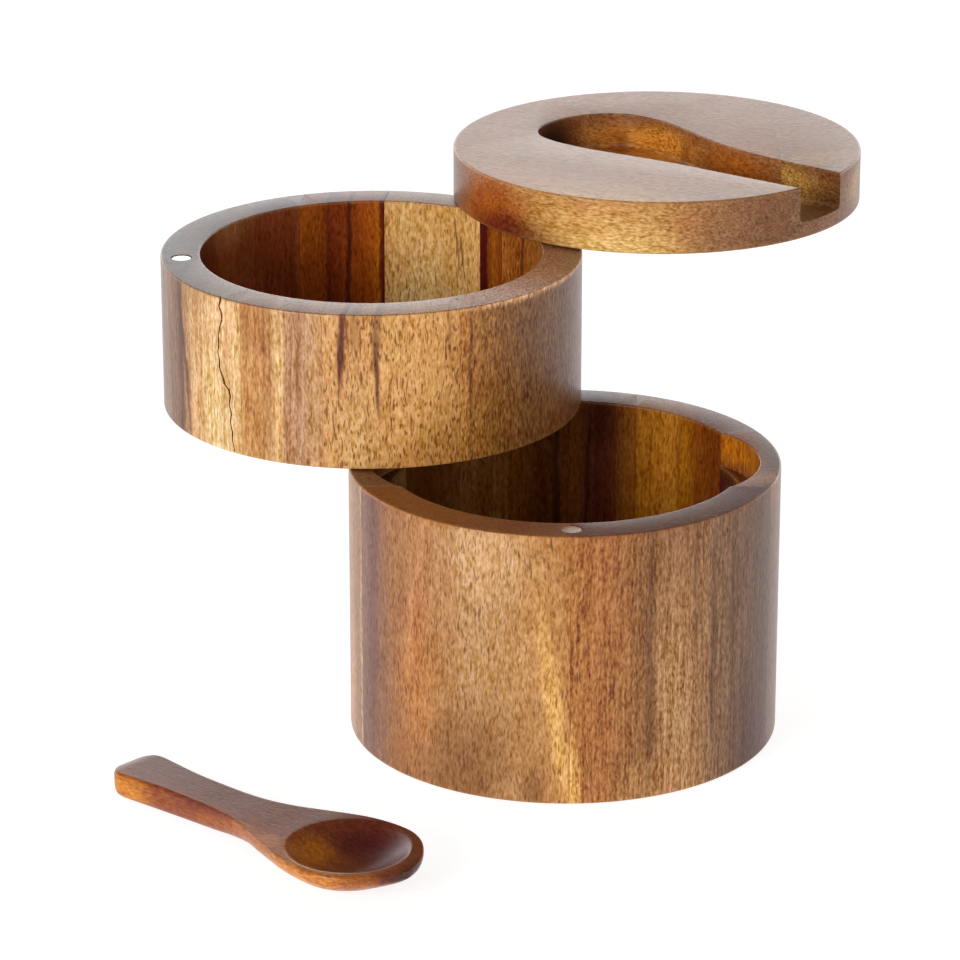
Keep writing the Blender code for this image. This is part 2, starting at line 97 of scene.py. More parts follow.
# Straight strip that keeps an eased edge's shading off the wall.
SUPPORT = 0.5 * MM
LEDGE_LIP = 0.3 * MM
LIP_CORNER = 0.3
GLUE_LINE = 0.05 * MM
LID_GLUE_LINE = 0.01 * MM
LOWER_WELL_R = 42.8 * MM
LOBE_OFFSET = 21.06 * MM
LOBE_R = 25.4 * MM
LOBE_DEPTH = 8.5 * MM
SCALLOP_STEP = 0.4 * MM
STEP_TURN = math.radians(0.22)
MIDDLE_WELL_R = 42.2 * MM
MIDDLE_LEDGE = 2.5 * MM
MIDDLE_SEAM_TILT = math.radians(-7.95)
SEAM_AB = -0.467
SEAM_BC = -0.069
SEAM_CS = 0.423
SEAM_CD = 0.543

# ---- magnets, pins and bottoms ----
MAGNET_STEPS = 72
MAGNET_ROLL = 0.25 * MM
MAGNET_GAP = 0.12 * MM
MAGNET_SEAT = 0.2 * MM
PIN_GAP = 0.08 * MM
PIN_END_GAP = 0.3 * MM
OPEN_END = 2.0 * MM
HOLE_STEPS = 64
FLOOR_EASE = 0.3 * MM
FLOOR_EASE_STEPS = 3

# ---- lid recess and spoon ----
RECESS_DEPTH = 9.2 * MM
RECESS_FOOT = 1.3 * MM
RECESS_FOOT_STEPS = 5
RECESS_HEADING = math.radians(-39.25)
SPOON_HEADING = math.radians(-42.85)
SPOON_START = (-102.8 * MM, -42.35 * MM)
SPOON_BOWL_AT = 72.0
SPOON_BOWL_R = 14.2
SPOON_BOWL_DEPTH = 5.6
SPOON_BOWL_SOFTNESS = 0.28
SPOON_INSET = 0.07
SPOON_EDGE = 0.9
SPOON_TOP_STEPS = 72
SPOON_EDGE_STEPS = 6
SPOON_UNDER_STEPS = 48


# ---- frame helpers ----
def span(nodes):
    """Lowest and highest corners over several CAD nodes."""
    boxes = [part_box(node) for node in nodes]
    low = Vector([min(b[0][k] for b in boxes) for k in range(3)])
    high = Vector([max(b[1][k] for b in boxes) for k in range(3)])
    return low, high


def between(axis, node_a, node_b):
    """Place of the glue line between two neighbouring boards, along one axis."""
    return 0.5 * (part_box(node_a)[1][axis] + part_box(node_b)[0][axis])


class Tier:
    """Centre, radius and height of one turned tier, read from its CAD boards."""

    def __init__(self, nodes):
        low, high = span(nodes)
        self.x = 0.5 * (low.x + high.x)
        self.y = 0.5 * (low.y + high.y)
        self.radius = 0.5 * min(high.x - low.x, high.y - low.y)
        self.base = low.z
        self.top = high.z


def tier_of(prefix):
    """Tier made by the boards whose names start with prefix."""
    names = [n for n in frame["nodes"] if n.startswith(prefix)]
    return Tier([n for n in names if "board" in n or "strip" in n])


lower = tier_of("lower_")
middle = tier_of("middle_")
lid = tier_of("lid_")


# ---- mesh helpers ----
def new_object(name, bm):
    """Mesh object from a bmesh, with outward faces."""
    bmesh.ops.recalc_face_normals(bm, faces=bm.faces)
    mesh = bpy.data.meshes.new(name)
    bm.to_mesh(mesh)
    bm.free()
    obj = bpy.data.objects.new(name, mesh)
    bpy.context.scene.collection.objects.link(obj)
    return obj


def quarter(centre_r, centre_z, radius, start, steps=EASE_STEPS):
    """Points of a quarter circle that turns left from start (degrees)."""
    points = []
    for i in range(steps + 1):
        t = math.radians(start + 90.0 * i / steps)
        points.append((centre_r + radius * math.cos(t), centre_z + radius * math.sin(t)))
    return points


def ring_angles(breaks, count):
    """About count angles round the circle, with one on each break."""
    angles = []
    for i, start in enumerate(breaks):
        stop = breaks[(i + 1) % len(breaks)]
        sweep = (stop - start) % (2.0 * math.pi) or 2.0 * math.pi
        steps = max(8, round(count * sweep / (2.0 * math.pi)))
        angles += [start + sweep * k / steps for k in range(steps)]
    return angles


def turned_ring(name, centre, angles, profile):
    """Closed ring: profile(angle) is a loop of (radius, height) points."""
    bm = bmesh.new()
    columns = []
    for angle in angles:
        cos_a, sin_a = math.cos(angle), math.sin(angle)
        columns.append([bm.verts.new((centre.x + r * cos_a, centre.y + r * sin_a, z))
                        for r, z in profile(angle)])
    count = len(columns[0])
    for column, following in zip(columns, columns[1:] + columns[:1]):
        for k in range(count):
            j = (k + 1) % count
            bm.faces.new((column[k], following[k], following[j], column[j]))
    bmesh.ops.remove_doubles(bm, verts=bm.verts, dist=TINY)
    return new_object(name, bm)


def turned_disc(name, x, y, outline, steps=ROUND_STEPS):
    """Solid of revolution from (radius, height) points, bottom to top."""
    turns = [2.0 * math.pi * i / steps for i in range(steps)]
    return loft(name, [[(x + r * math.cos(t), y + r * math.sin(t), z) for t in turns]
                       for r, z in outline])


def loft(name, rings):
    """Closed solid through equal rings of points, both ends capped."""
    bm = bmesh.new()
    rows = [[bm.verts.new(p) for p in ring] for ring in rings]
    count = len(rows[0])
    for low, high in zip(rows, rows[1:]):
        for i in range(count):
            j = (i + 1) % count
            bm.faces.new((low[i], low[j], high[j], high[i]))
    bm.faces.new(list(reversed(rows[0])))
    bm.faces.new(rows[-1])
    return new_object(name, bm)


def keep_inside(source, name, planes):
    """Copy of a solid cut by planes (point, outward normal), with its cuts closed."""
    bm = bmesh.new()
    bm.from_mesh(source.data)
    for point, normal in planes:
        geometry = bm.verts[:] + bm.edges[:] + bm.faces[:]
        result = bmesh.ops.bisect_plane(
            bm, geom=geometry, dist=TINY, plane_co=point, plane_no=normal, clear_outer=True
        )
        edges = [e for e in result["geom_cut"] if isinstance(e, bmesh.types.BMEdge)]
        bmesh.ops.holes_fill(bm, edges=edges, sides=0)
    return new_object(name, bm)


def board_planes(x, y, heading, u_range, v_range, glue=GLUE_LINE):
    """Planes that bound a board along and across a heading, glue line included."""
    along = Vector((math.cos(heading), math.sin(heading), 0.0))
    across = Vector((-along.y, along.x, 0.0))
    centre = Vector((x, y, 0.0))
    half = 0.5 * glue
    planes = []
    for axis, (low, high) in ((along, u_range), (across, v_range)):
        if low is not None:
            planes.append((centre + axis * (low + half), -axis))
        if high is not None:
            planes.append((centre + axis * (high - half), axis))
    return planes


def cut_away(obj, cutters):
    """Take the cutters' shapes out of a solid."""
    for cutter in cutters:
        mod = obj.modifiers.new("cut", "BOOLEAN")
        mod.operation = "DIFFERENCE"
        mod.solver = "EXACT"
        mod.object = cutter
    bpy.context.view_layer.update()
    graph = bpy.context.evaluated_depsgraph_get()
    mesh = bpy.data.meshes.new_from_object(obj.evaluated_get(graph))
    obj.modifiers.clear()
    obj.data = mesh


def discard(objects):
    """Remove helper objects."""
    for obj in objects:
        bpy.data.objects.remove(obj, do_unlink=True)


FLAT_NORMAL = 0.9999
CAP_CORNERS = 30
SHARP_ANGLE = math.radians(32.0)


def shade(obj):
    """Smooth shading with flat faces and sharp corners where the wood has them."""
    for poly in obj.data.polygons:
        poly.use_smooth = abs(poly.normal.z) < FLAT_NORMAL and len(poly.vertices) < CAP_CORNERS
    obj.data.set_sharp_from_angle(angle=SHARP_ANGLE)


def paint(obj, mat):
    """One material all over a piece."""
    obj.data.materials.clear()
    obj.data.materials.append(mat)


def stand_for(obj, node, mat):
    """Shade, paint and seat a piece that replaces a CAD node."""
    shade(obj)
    paint(obj, mat)
    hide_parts(node)
    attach(obj, frame["nodes"][node]["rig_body"])


# ---- material helpers ----
SHEEN = 0.028
STAIN_GAIN = 0.95
DARKEST_STAIN = 0.006


def srgb(colour):
    """Linear red, green and blue of a display colour written as six hex digits."""
    def linear(value):
        value /= 255.0
        return value / 12.92 if value <= 0.04045 else ((value + 0.055) / 1.055) ** 2.4
    return [linear(part) for part in bytes.fromhex(colour)]


def seen(colour):
    """Wood colour that shows as this display colour under the oil's sheen."""
    return (*(max(DARKEST_STAIN, (part - SHEEN) * STAIN_GAIN) for part in srgb(colour)), 1.0)


class Graph:
    """Short calls that add shader nodes to a material or a world."""

    def __init__(self, owner, shader="Principled BSDF"):
        owner.use_nodes = True
        self.owner = owner
        self.tree = owner.node_tree
        self.shader = self.tree.nodes[shader]

    def put(self, socket, value):
        """Link a socket, or set its value."""
        if isinstance(value, bpy.types.NodeSocket):
            self.tree.links.new(value, socket)
        else:
            socket.default_value = value

    def fill(self, made, **settings):
        """Links or constants on a node's sockets, where _ in a name stands for a space."""
        for key, value in settings.items():
            self.put(made.inputs[key.replace("_", " ")], value)
        return made.outputs

    def feed(self, made, *values):
        """Links or constants on a node's first sockets, in order."""
        for socket, value in zip(made.inputs, values):
            self.put(socket, value)
        return made.outputs

    def node(self, kind, **settings):
        """New node with its settings."""
        made = self.tree.nodes.new(kind)
        for key, value in settings.items():
            setattr(made, key, value)
        return made

    def math(self, operation, a, b=0.0, c=0.0):
        """Math node."""
        return self.feed(self.node("ShaderNodeMath", operation=operation), a, b, c)[0]

    def vector(self, operation, a, b=(0.0, 0.0, 0.0), c=(0.0, 0.0, 0.0)):
        """Vector Math node; a length comes back as a number."""
        outputs = self.feed(self.node("ShaderNodeVectorMath", operation=operation), a, b, c)
        return outputs["Value" if operation == "LENGTH" else "Vector"]

    def mapping(self, vector, place=(0.0, 0.0, 0.0), turn=(0.0, 0.0, 0.0), scale=(1.0, 1.0, 1.0)):
        """Coordinates inside a placed, turned and scaled box."""
        made = self.node("ShaderNodeMapping", vector_type="TEXTURE")
        return self.fill(made, Vector=vector, Location=place, Rotation=turn, Scale=scale)[0]

    def noise(self, vector, detail=2.0, roughness=0.5, colour=False, seed=0.0):
        """Noise with one cell to the unit."""
        made = self.node("ShaderNodeTexNoise", noise_dimensions="4D")
        outputs = self.fill(made, Vector=vector, W=seed, Scale=1.0, Detail=detail,
                            Roughness=roughness)
        return outputs["Color" if colour else "Fac"]

    def smooth(self, value, start, stop, low=0.0, high=1.0):
        """Smooth step from low at start to high at stop."""
        made = self.node("ShaderNodeMapRange", interpolation_type="SMOOTHSTEP")
        return self.fill(made, Value=value, From_Min=start, From_Max=stop, To_Min=low,
                         To_Max=high)[0]

    def climb(self, value, start, stop):
        """Straight climb from 0 at start to 1 at stop, clamped."""
        made = self.node("ShaderNodeMapRange")
        return self.fill(made, Value=value, From_Min=start, From_Max=stop)[0]

    def ramp(self, value, stops):
        """Colour ramp; stops are (place from 0 to 1, colour)."""
        made = self.node("ShaderNodeValToRGB")
        elements = made.color_ramp.elements
        made.color_ramp.interpolation = "EASE"
        while len(elements) < len(stops):
            elements.new(0.5)
        for element, (place, colour) in zip(elements, stops):
            element.position = place
            element.color = colour
        return self.feed(made, value)["Color"]

    def mix(self, factor, a, b, blend="MIX"):
        """Colour mix."""
        made = self.node("ShaderNodeMix", data_type="RGBA", blend_type=blend)
        self.put(made.inputs["Factor"], factor)
        self.put(made.inputs[6], a)
        self.put(made.inputs[7], b)
        return made.outputs[2]

    def split(self, vector):
        """The three parts of a vector."""
        return self.feed(self.node("ShaderNodeSeparateXYZ"), vector)

    def join(self, x, y, z):
        """Vector from three parts."""
        return self.feed(self.node("ShaderNodeCombineXYZ"), x, y, z)[0]

    def bump(self, height, strength, distance):
        """Relief on the shader's surface."""
        made = self.node("ShaderNodeBump")
        normal = self.fill(made, Strength=strength, Distance=distance, Height=height)[0]
        self.fill(self.shader, Normal=normal)


# ---- wood ----
# Noises: (cell in mm, across, across and along the grain, detail, roughness, seed).
SLOW_WAVER = ((13.0, 13.0, 60.0), 1.0, 0.5, 0.0)
QUICK_WAVER = ((3.0, 3.0, 7.0), 1.0, 0.5, 3.0)
LINES = ((0.8, 0.8, 26.0), 2.0, 0.6, 7.0)
FIBRES = ((0.5, 0.5, 1.5), 1.0, 0.5, 11.0)
MOTTLE = ((2.4, 2.4, 6.0), 2.0, 0.55, 15.0)
BLUSH = ((7.0, 7.0, 24.0), 1.0, 0.5, 19.0)
PORES = ((0.48, 0.48, 1.7), 0.0, 0.5, 27.0)
LONG_PORES = ((0.55, 0.55, 3.4), 0.0, 0.5, 35.0)
# Limits between which a noise or a distance turns into a mark.
PATCH_EDGE = (1.15, 0.25)
BLUSH_EDGE = (0.5, 0.75)
PORE_EDGE = (0.60, 0.74)
LONG_PORE_EDGE = (0.68, 0.76)
END_EDGE = (0.55, 0.95)
WORN_EDGE = (1.3 * MM, 0.5 * MM)
# How far the wavers move the fibres, in mm, and how ragged patches and the pale worn and highlit
# arrises are.
SLOW_REACH = 2.0
QUICK_REACH = 1.3
PATCH_RAGGED = 0.5
WORN_RAGGED = 0.7 * MM
# How strongly each mark darkens or tints.
FIBRE_TONE = 1.5
MOTTLE_TONE = 0.55
TONE_BY_CHANNEL = (0.9, 1.35, 2.6)
DARKEST_TONE = (0.12, 0.10, 0.05)
BLUSH_SHARE = 0.4
BLUSH_TINT = (1.03, 0.80, 0.72, 1.0)
SHORT_PORE_SHARE = 0.75
PORE_SHARE = 0.7
PORE_TINT = (0.45, 0.32, 0.20, 1.0)
END_TINT = (0.52, 0.44, 0.42, 1.0)
WORN_SHARE = 0.16
WEAR_AND_HIGHLIGHT_COLOUR = "d6a474"
# Roughness of the oiled wood, and how the marks change it.
WOOD_ROUGH = 0.25
MOTTLE_ROUGH = 0.12
PORE_ROUGH = 0.03
WORN_ROUGH = -0.06
FIBRE_RELIEF = 1.2
WOOD_RELIEF = 0.06 * MM
EVERYWHERE = 1e4


def grain_noise(g, fibre, kind, seed, colour=False):
    """One of the wood's noises, stretched along the fibres."""
    cell, detail, roughness, own_seed = kind
    return g.noise(g.mapping(fibre, scale=cell), detail, roughness, colour, seed + own_seed)


def waver(g, local, kind, seed):
    """Slow or quick sideways sway of the fibres."""
    return g.vector("SUBTRACT", grain_noise(g, local, kind, seed, True), (0.5, 0.5, 0.5))


def banded(g, fibre, slow, bands, patches):
    """Colour bands across the board, then soft patches."""
    low, high = bands[0][0], bands[-1][0]
    stops = [((x - low) / (high - low), seen(tint)) for x, tint in bands]
    colour = g.ramp(g.climb(g.split(fibre)[0], low, high), stops)
    for centre, half, lean, tint, strength in patches:
        inside = g.mapping(fibre, centre, (0.0, math.radians(lean), 0.0), half)
        reach = g.vector("LENGTH", inside)
        ragged = g.math("MULTIPLY_ADD", g.split(slow)[1], PATCH_RAGGED, reach)
        colour = g.mix(g.smooth(ragged, *PATCH_EDGE, 0.0, strength), colour, seen(tint))
    return colour


def figured(g, fibre, colour, fine, mottle, seed, grain, streak):
    """Fibres, long lines and mottling; blue fades most, so dark wood turns redder."""
    lines = grain_noise(g, fibre, LINES, seed)
    blush = grain_noise(g, fibre, BLUSH, seed)
    tone = g.math("MULTIPLY", g.math("SUBTRACT", fine, 0.5), FIBRE_TONE * grain)
    tone = g.math("MULTIPLY_ADD", g.math("SUBTRACT", lines, 0.5), streak, tone)
    tone = g.math("MULTIPLY_ADD", g.math("SUBTRACT", mottle, 0.5), MOTTLE_TONE, tone)
    tone = g.vector("MULTIPLY_ADD", g.join(tone, tone, tone), TONE_BY_CHANNEL, WHITE[:3])
    tone = g.vector("MAXIMUM", tone, DARKEST_TONE)
    blushing = g.smooth(blush, *BLUSH_EDGE, 0.0, BLUSH_SHARE)
    colour = g.mix(blushing, colour, BLUSH_TINT, "MULTIPLY")
    return g.mix(1.0, colour, tone, "MULTIPLY")


def open_pores(g, fibre, seed):
    """Short dark dashes along the fibres, and a few long ones."""
    dash = g.smooth(grain_noise(g, fibre, PORES, seed), *PORE_EDGE)
    rare = g.smooth(grain_noise(g, fibre, LONG_PORES, seed), *LONG_PORE_EDGE)
    return g.math("MAXIMUM", g.math("MULTIPLY", dash, SHORT_PORE_SHARE), rare)


def end_grain(g, normal, turn):
    """How squarely the surface cuts the fibres."""
    along = g.split(g.mapping(normal, turn=turn))[2]
    return g.smooth(g.math("ABSOLUTE", along), *END_EDGE)


def worn_and_highlit(g, source, mottle, rims):
    """How close the surface is to a listed arris: worn where hands rub, and a painted highlight along
    the lower tier's ledge.
    """
    wear_and_highlight = 0.0
    for x, y, radius, height in rims:
        x_part, y_part, z_part = g.split(g.vector("SUBTRACT", source, (x, y, height)))
        flat = g.vector("LENGTH", g.join(x_part, y_part, 0.0))
        away = g.vector("LENGTH", g.join(g.math("SUBTRACT", flat, radius), z_part, 0.0))
        near = g.smooth(g.math("MULTIPLY_ADD", mottle, WORN_RAGGED, away), *WORN_EDGE)
        wear_and_highlight = g.math("MAXIMUM", near, wear_and_highlight)
    return wear_and_highlight


def wood(name, place, turn, bands, patches=(), seed=0.0, wave=1.6, grain=1.0, streak=0.5,
         dashes=1.0, relief=0.5, rims=()):
    """Oiled acacia.

    place and turn set the board's own frame, in mm: x runs across the colour
    bands, z along the grain. bands are (x, colour) stops. patches are
    (centre, half size, lean in degrees, colour, strength). wave, grain, streak,
    dashes and relief scale the waver, the fibres, the long lines, the open pores
    and the bumps. rims are the turned arrises, (centre x, centre y, radius,
    height) in metres.
    """
    g = Graph(bpy.data.materials.new(name))
    coordinates = g.node("ShaderNodeTexCoord").outputs
    local = g.mapping(coordinates["Object"], place, turn, (MM, MM, MM))
    slow = waver(g, local, SLOW_WAVER, seed)
    quick = waver(g, local, QUICK_WAVER, seed)
    sway = g.vector("MULTIPLY", slow, (SLOW_REACH * wave, SLOW_REACH * wave, 0.0))
    shake = g.vector("MULTIPLY", quick, (QUICK_REACH, QUICK_REACH, 0.0))
    fibre = g.vector("ADD", local, g.vector("ADD", sway, shake))

    fine = grain_noise(g, fibre, FIBRES, seed)
    mottle = grain_noise(g, fibre, MOTTLE, seed)
    pore = open_pores(g, fibre, seed)
    colour = banded(g, fibre, slow, bands, patches)
    colour = figured(g, fibre, colour, fine, mottle, seed, grain, streak)
    colour = g.mix(g.math("MULTIPLY", pore, PORE_SHARE * dashes), colour, PORE_TINT, "MULTIPLY")
    # End grain drinks more oil and turns darker.
    ends = end_grain(g, coordinates["Normal"], turn)
    colour = g.mix(ends, colour, END_TINT, "MULTIPLY")

    rough = g.math("MULTIPLY_ADD", mottle, MOTTLE_ROUGH, WOOD_ROUGH)
    rough = g.math("MULTIPLY_ADD", pore, PORE_ROUGH, rough)
    # Pale arrises: wear on the rims, and a painted highlight along the lower tier's ledge.
    if rims:
        wear_and_highlight = worn_and_highlit(g, coordinates["Object"], mottle, rims)
        colour = g.mix(g.math("MULTIPLY", wear_and_highlight, WORN_SHARE), colour, seen(WEAR_AND_HIGHLIGHT_COLOUR))
        rough = g.math("MULTIPLY_ADD", wear_and_highlight, WORN_ROUGH, rough)

    g.bump(g.math("MULTIPLY_ADD", pore, -1.0, g.math("MULTIPLY", fine, FIBRE_RELIEF)),
           relief, WOOD_RELIEF)
    g.fill(g.shader, Base_Color=colour, Roughness=rough, IOR=1.37, Coat_Weight=0.05,
           Coat_Roughness=0.25)
    return g.owner


# ---- metal ----
SMUDGE_CELL = (1.6 * MM, 1.6 * MM, 1.6 * MM)
BRUSH_CELL = (0.06 * MM, 0.5 * MM, 0.06 * MM)
BRUSH_SEED = 4.0
SMUDGE_TONE = 0.24
CLEAN_TONE = 0.86
SMUDGE_ROUGH = 0.2
BRUSH_STRENGTH = 0.15
BRUSH_RELIEF = 0.02 * MM


def metal(name, colour, rough):
    """Plated metal with a faint turned brush and soft smudges."""
    g = Graph(bpy.data.materials.new(name))
    source = g.node("ShaderNodeTexCoord").outputs["Object"]
    smudge = g.noise(g.mapping(source, scale=SMUDGE_CELL))
    brush = g.noise(g.mapping(source, scale=BRUSH_CELL), seed=BRUSH_SEED)
    tone = g.math("MULTIPLY_ADD", smudge, SMUDGE_TONE, CLEAN_TONE)
    tint = g.mix(1.0, (*srgb(colour), 1.0), g.join(tone, tone, tone), "MULTIPLY")
    dull = g.math("MULTIPLY_ADD", smudge, SMUDGE_ROUGH, rough)
    g.fill(g.shader, Base_Color=tint, Roughness=dull, Metallic=1.0)
    g.bump(brush, BRUSH_STRENGTH, BRUSH_RELIEF)
    return g.owner


# ---- walls of the tiers ----
def ridge_angle():
    """Angle at which the scallop's circle meets the bore."""
    top = LOWER_WELL_R ** 2 + LOBE_OFFSET ** 2 - LOBE_R ** 2
    return math.acos(top / (2.0 * LOWER_WELL_R * LOBE_OFFSET))


def mouth_radius(angle):
    """Outline of the lower mouth: the bore, with a stepped scallop at each side."""
    fold = abs(math.asin(math.sin(angle)))
    inside = (ridge_angle() + STEP_TURN - fold) / (2.0 * STEP_TURN)
    inside = min(max(inside, 0.0), 1.0)
    across = LOBE_OFFSET * math.sin(fold)
    reach = LOBE_OFFSET * math.cos(fold) + math.sqrt(max(LOBE_R ** 2 - across ** 2, 0.0))
    step = (reach + SCALLOP_STEP - LOWER_WELL_R) * inside * inside * (3.0 - 2.0 * inside)
    return LOWER_WELL_R + max(step, 0.0)


def wall_profile(tier, mouth, bore, ledge):
    """Section of a tier's wall, from its outer foot up and over the rim."""
    outer_r, base, top = tier.radius, tier.base, tier.top
    lip = min(LEDGE_LIP, 0.4 * (mouth - bore))
    corner = LIP_CORNER * lip
    return [
        *quarter(outer_r - EASE, base + EASE, EASE, -90.0),
        (outer_r, base + EASE + SUPPORT),
        (outer_r, top - EASE - SUPPORT),
        *quarter(outer_r - EASE, top - EASE, EASE, 0.0),
        *quarter(mouth + INNER_EASE, top - INNER_EASE, INNER_EASE, 90.0),
        (mouth, top - INNER_EASE - SUPPORT),
        (mouth, ledge + lip),
        (mouth - corner, ledge + corner),
        (mouth - lip, ledge),
        (bore + lip, ledge),
        (bore + corner, ledge - corner),
        (bore, ledge - lip),
        (bore, base + WALL_FOOT),
        (bore + WALL_FOOT, base),
    ]


def lower_ring():
    """Whole wall of the lower tier before it is cut into boards."""
    ridge = ridge_angle()
    breaks = []
    for edge in (-ridge, ridge, math.pi - ridge, math.pi + ridge):
        breaks += [edge - STEP_TURN, edge + STEP_TURN]
    ledge = lower.top - LOBE_DEPTH
    return turned_ring("lower_wall", lower, ring_angles(breaks, ROUND_STEPS),
                       lambda t: wall_profile(lower, mouth_radius(t), LOWER_WELL_R, ledge))


def middle_ring():
    """Whole wall of the middle tray before it is cut into boards."""
    profile = wall_profile(middle, MIDDLE_WELL_R, MIDDLE_WELL_R, middle.top - MIDDLE_LEDGE)
    return turned_ring("middle_wall", middle, ring_angles([0.0], ROUND_STEPS), lambda t: profile)


# ---- damage ----
# Crack beside a seam of the tray, down its front: (distance along X from the
# tray's axis, height, width), in mm.
CRACK = (
    (-35.3, 107, 0.60), (-35.2, 105.4, 0.66), (-35.6, 103.9, 0.44), (-35, 102.3, 0.60),
    (-34.9, 100.6, 0.46), (-35.5, 98.8, 0.36), (-35.9, 96.6, 0.30), (-35.8, 94.4, 0.40),
    (-36.1, 92.2, 0.30), (-35.7, 90.2, 0.40), (-35.8, 88.4, 0.50), (-35.1, 86.4, 0.66),
    (-34.6, 84.6, 0.76), (-33.6, 83.6, 0.66), (-33.2, 81.8, 0.56), (-33.5, 79.6, 0.36),
    (-33, 77.4, 0.44), (-33.3, 75.2, 0.32), (-32.8, 72.8, 0.38), (-32.9, 70.6, 0.30),
    (-32.4, 68.6, 0.26), (-32.4, 66.6, 0.22),
)
CRACK_DEPTH = 1.3 * MM
CRACK_CLEAR = 0.3 * MM
# Corners of the groove: (part of its width aside, reach from the wall).
CRACK_CORNERS = ((-0.5, CRACK_CLEAR), (0.5, CRACK_CLEAR), (0.03, -CRACK_DEPTH))

# Chip in the tray's rim: its place from the tray's axis and half sizes, in mm, the
# reaches round its outline, and its levels (part of the size, height over the rim).
PIT_AT = (21.2, -39.6)
PIT_SIZE = (0.75, 0.9)
PIT_REACHES = (1.0, 0.5, 0.7, 0.4, 0.9, 0.5, 0.35)
PIT_LEVELS = ((0.25, -0.45), (0.7, -0.2), (1.0, 0.5))


def crack_cutter():
    """V-shaped jagged groove for the crack."""
    rings = []
    for u, z, width in reversed(CRACK):
        ring = []
        for aside, reach in CRACK_CORNERS:
            x = (u + aside * width) * MM
            radius = middle.radius + reach
            ring.append((middle.x + x, middle.y - math.sqrt(radius * radius - x * x), z * MM))
        rings.append(ring)
    return loft("crack_cutter", rings)


def rim_pit():
    """Small chipped pit on the flat of the tray's rim."""
    x, y = middle.x + PIT_AT[0] * MM, middle.y + PIT_AT[1] * MM
    rings = []
    for grow, level in PIT_LEVELS:
        ring = []
        for i, reach in enumerate(PIT_REACHES):
            t = 2.0 * math.pi * i / len(PIT_REACHES)
            ring.append((x + PIT_SIZE[0] * MM * grow * reach * math.cos(t),
                         y + PIT_SIZE[1] * MM * grow * reach * math.sin(t),
                         middle.top + level * MM))
        rings.append(ring)
    return loft("pit_cutter", rings)


# ---- magnets, pins and bottoms ----
def disc_place(node):
    """Axis and radius of an upright round CAD node."""
    low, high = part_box(node)
    return 0.5 * (low.x + high.x), 0.5 * (low.y + high.y), 0.5 * (high.x - low.x)


def round_hole(node, reach_down, reach_up, gap):
    """Cutter for the hole round a magnet or pin."""
    low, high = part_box(node)
    x, y, radius = disc_place(node)
    outline = [(radius + gap, low.z - reach_down), (radius + gap, high.z + reach_up)]
    return turned_disc(node + "_hole", x, y, outline, HOLE_STEPS)


def pin_hole(node):
    """Cutter for a pin's blind hole."""
    return round_hole(node, PIN_END_GAP, PIN_END_GAP, PIN_GAP)


def top_magnet_hole(node):
    """Cutter for a magnet that shows in an upper face."""
    return round_hole(node, MAGNET_SEAT, OPEN_END, MAGNET_GAP)


def under_magnet_hole(node):
    """Cutter for a magnet that shows in an under face."""
    return round_hole(node, OPEN_END, MAGNET_SEAT, MAGNET_GAP)


def magnet(node, mat):
    """Plated disc magnet with rolled edges."""
    low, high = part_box(node)
    x, y, radius = disc_place(node)
    outline = [
        (0.5 * radius, low.z),
        *quarter(radius - MAGNET_ROLL, low.z + MAGNET_ROLL, MAGNET_ROLL, -90.0),
        *quarter(radius - MAGNET_ROLL, high.z - MAGNET_ROLL, MAGNET_ROLL, 0.0),
        (0.5 * radius, high.z),
    ]
    stand_for(turned_disc(node + "_disc", x, y, outline, MAGNET_STEPS), node, mat)


def floor_disc(node, tier, radius, mat):
    """Bottom disc of a tier with an eased foot."""
    low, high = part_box(node)
    outline = [(0.4 * radius, low.z), (0.8 * radius, low.z)]
    outline += quarter(radius - FLOOR_EASE, low.z + FLOOR_EASE, FLOOR_EASE, -90.0, FLOOR_EASE_STEPS)
    outline += [(radius, high.z), (0.8 * radius, high.z), (0.4 * radius, high.z)]
    stand_for(turned_disc(node + "_disc", tier.x, tier.y, outline), node, mat)


# ---- lid ----
# Recess stations along its heading: (distance from the lid's centre, far edge,
# near edge), in mm, from the round end to the mouth at the rim.
RECESS_STATIONS = (
    (-33.9, 2.4, -2.2), (-33.2, 6.4, -6), (-31.2, 11, -9.4), (-27.6, 15.2, -12.3),
    (-22, 18.2, -13.8), (-16, 18.7, -14.1), (-10, 17.9, -13.8), (-3, 15.8, -12.9),
    (4, 13.2, -11.8), (11, 10.9, -10.9), (18, 9.3, -10.4), (26, 8.4, -10.1),
    (34, 8.1, -9.7), (60, 8.3, -8.2),
)
RECESS_PATH_STEPS = 6


def smooth_path(points, steps):
    """Catmull-Rom curve through points of any dimension."""
    path = []
    last = len(points) - 1
    for i in range(last):
        p0 = points[max(i - 1, 0)]
        p1, p2 = points[i], points[i + 1]
        p3 = points[min(i + 2, last)]
        for k in range(steps):
            t = k / steps
            path.append(tuple(
                0.5 * (2.0 * b + (c - a) * t + (2.0 * a - 5.0 * b + 4.0 * c - d) * t * t
                       + (3.0 * b - a - 3.0 * c + d) * t ** 3)
                for a, b, c, d in zip(p0, p1, p2, p3)
            ))
    path.append(tuple(points[last]))
    return path


def recess_path():
    """Plan outline of the recess as points with their outward normals."""
    far = [(u, v) for u, v, _ in RECESS_STATIONS]
    near = [(u, v) for u, _, v in RECESS_STATIONS]
    path = smooth_path(far[::-1] + near, RECESS_PATH_STEPS)
    result = []
    for i, (u, v) in enumerate(path):
        before = path[max(i - 1, 0)]
        after = path[min(i + 1, len(path) - 1)]
        du, dv = after[0] - before[0], after[1] - before[1]
        size = math.hypot(du, dv)
        result.append((u * MM, v * MM, dv / size, -du / size))
    return result


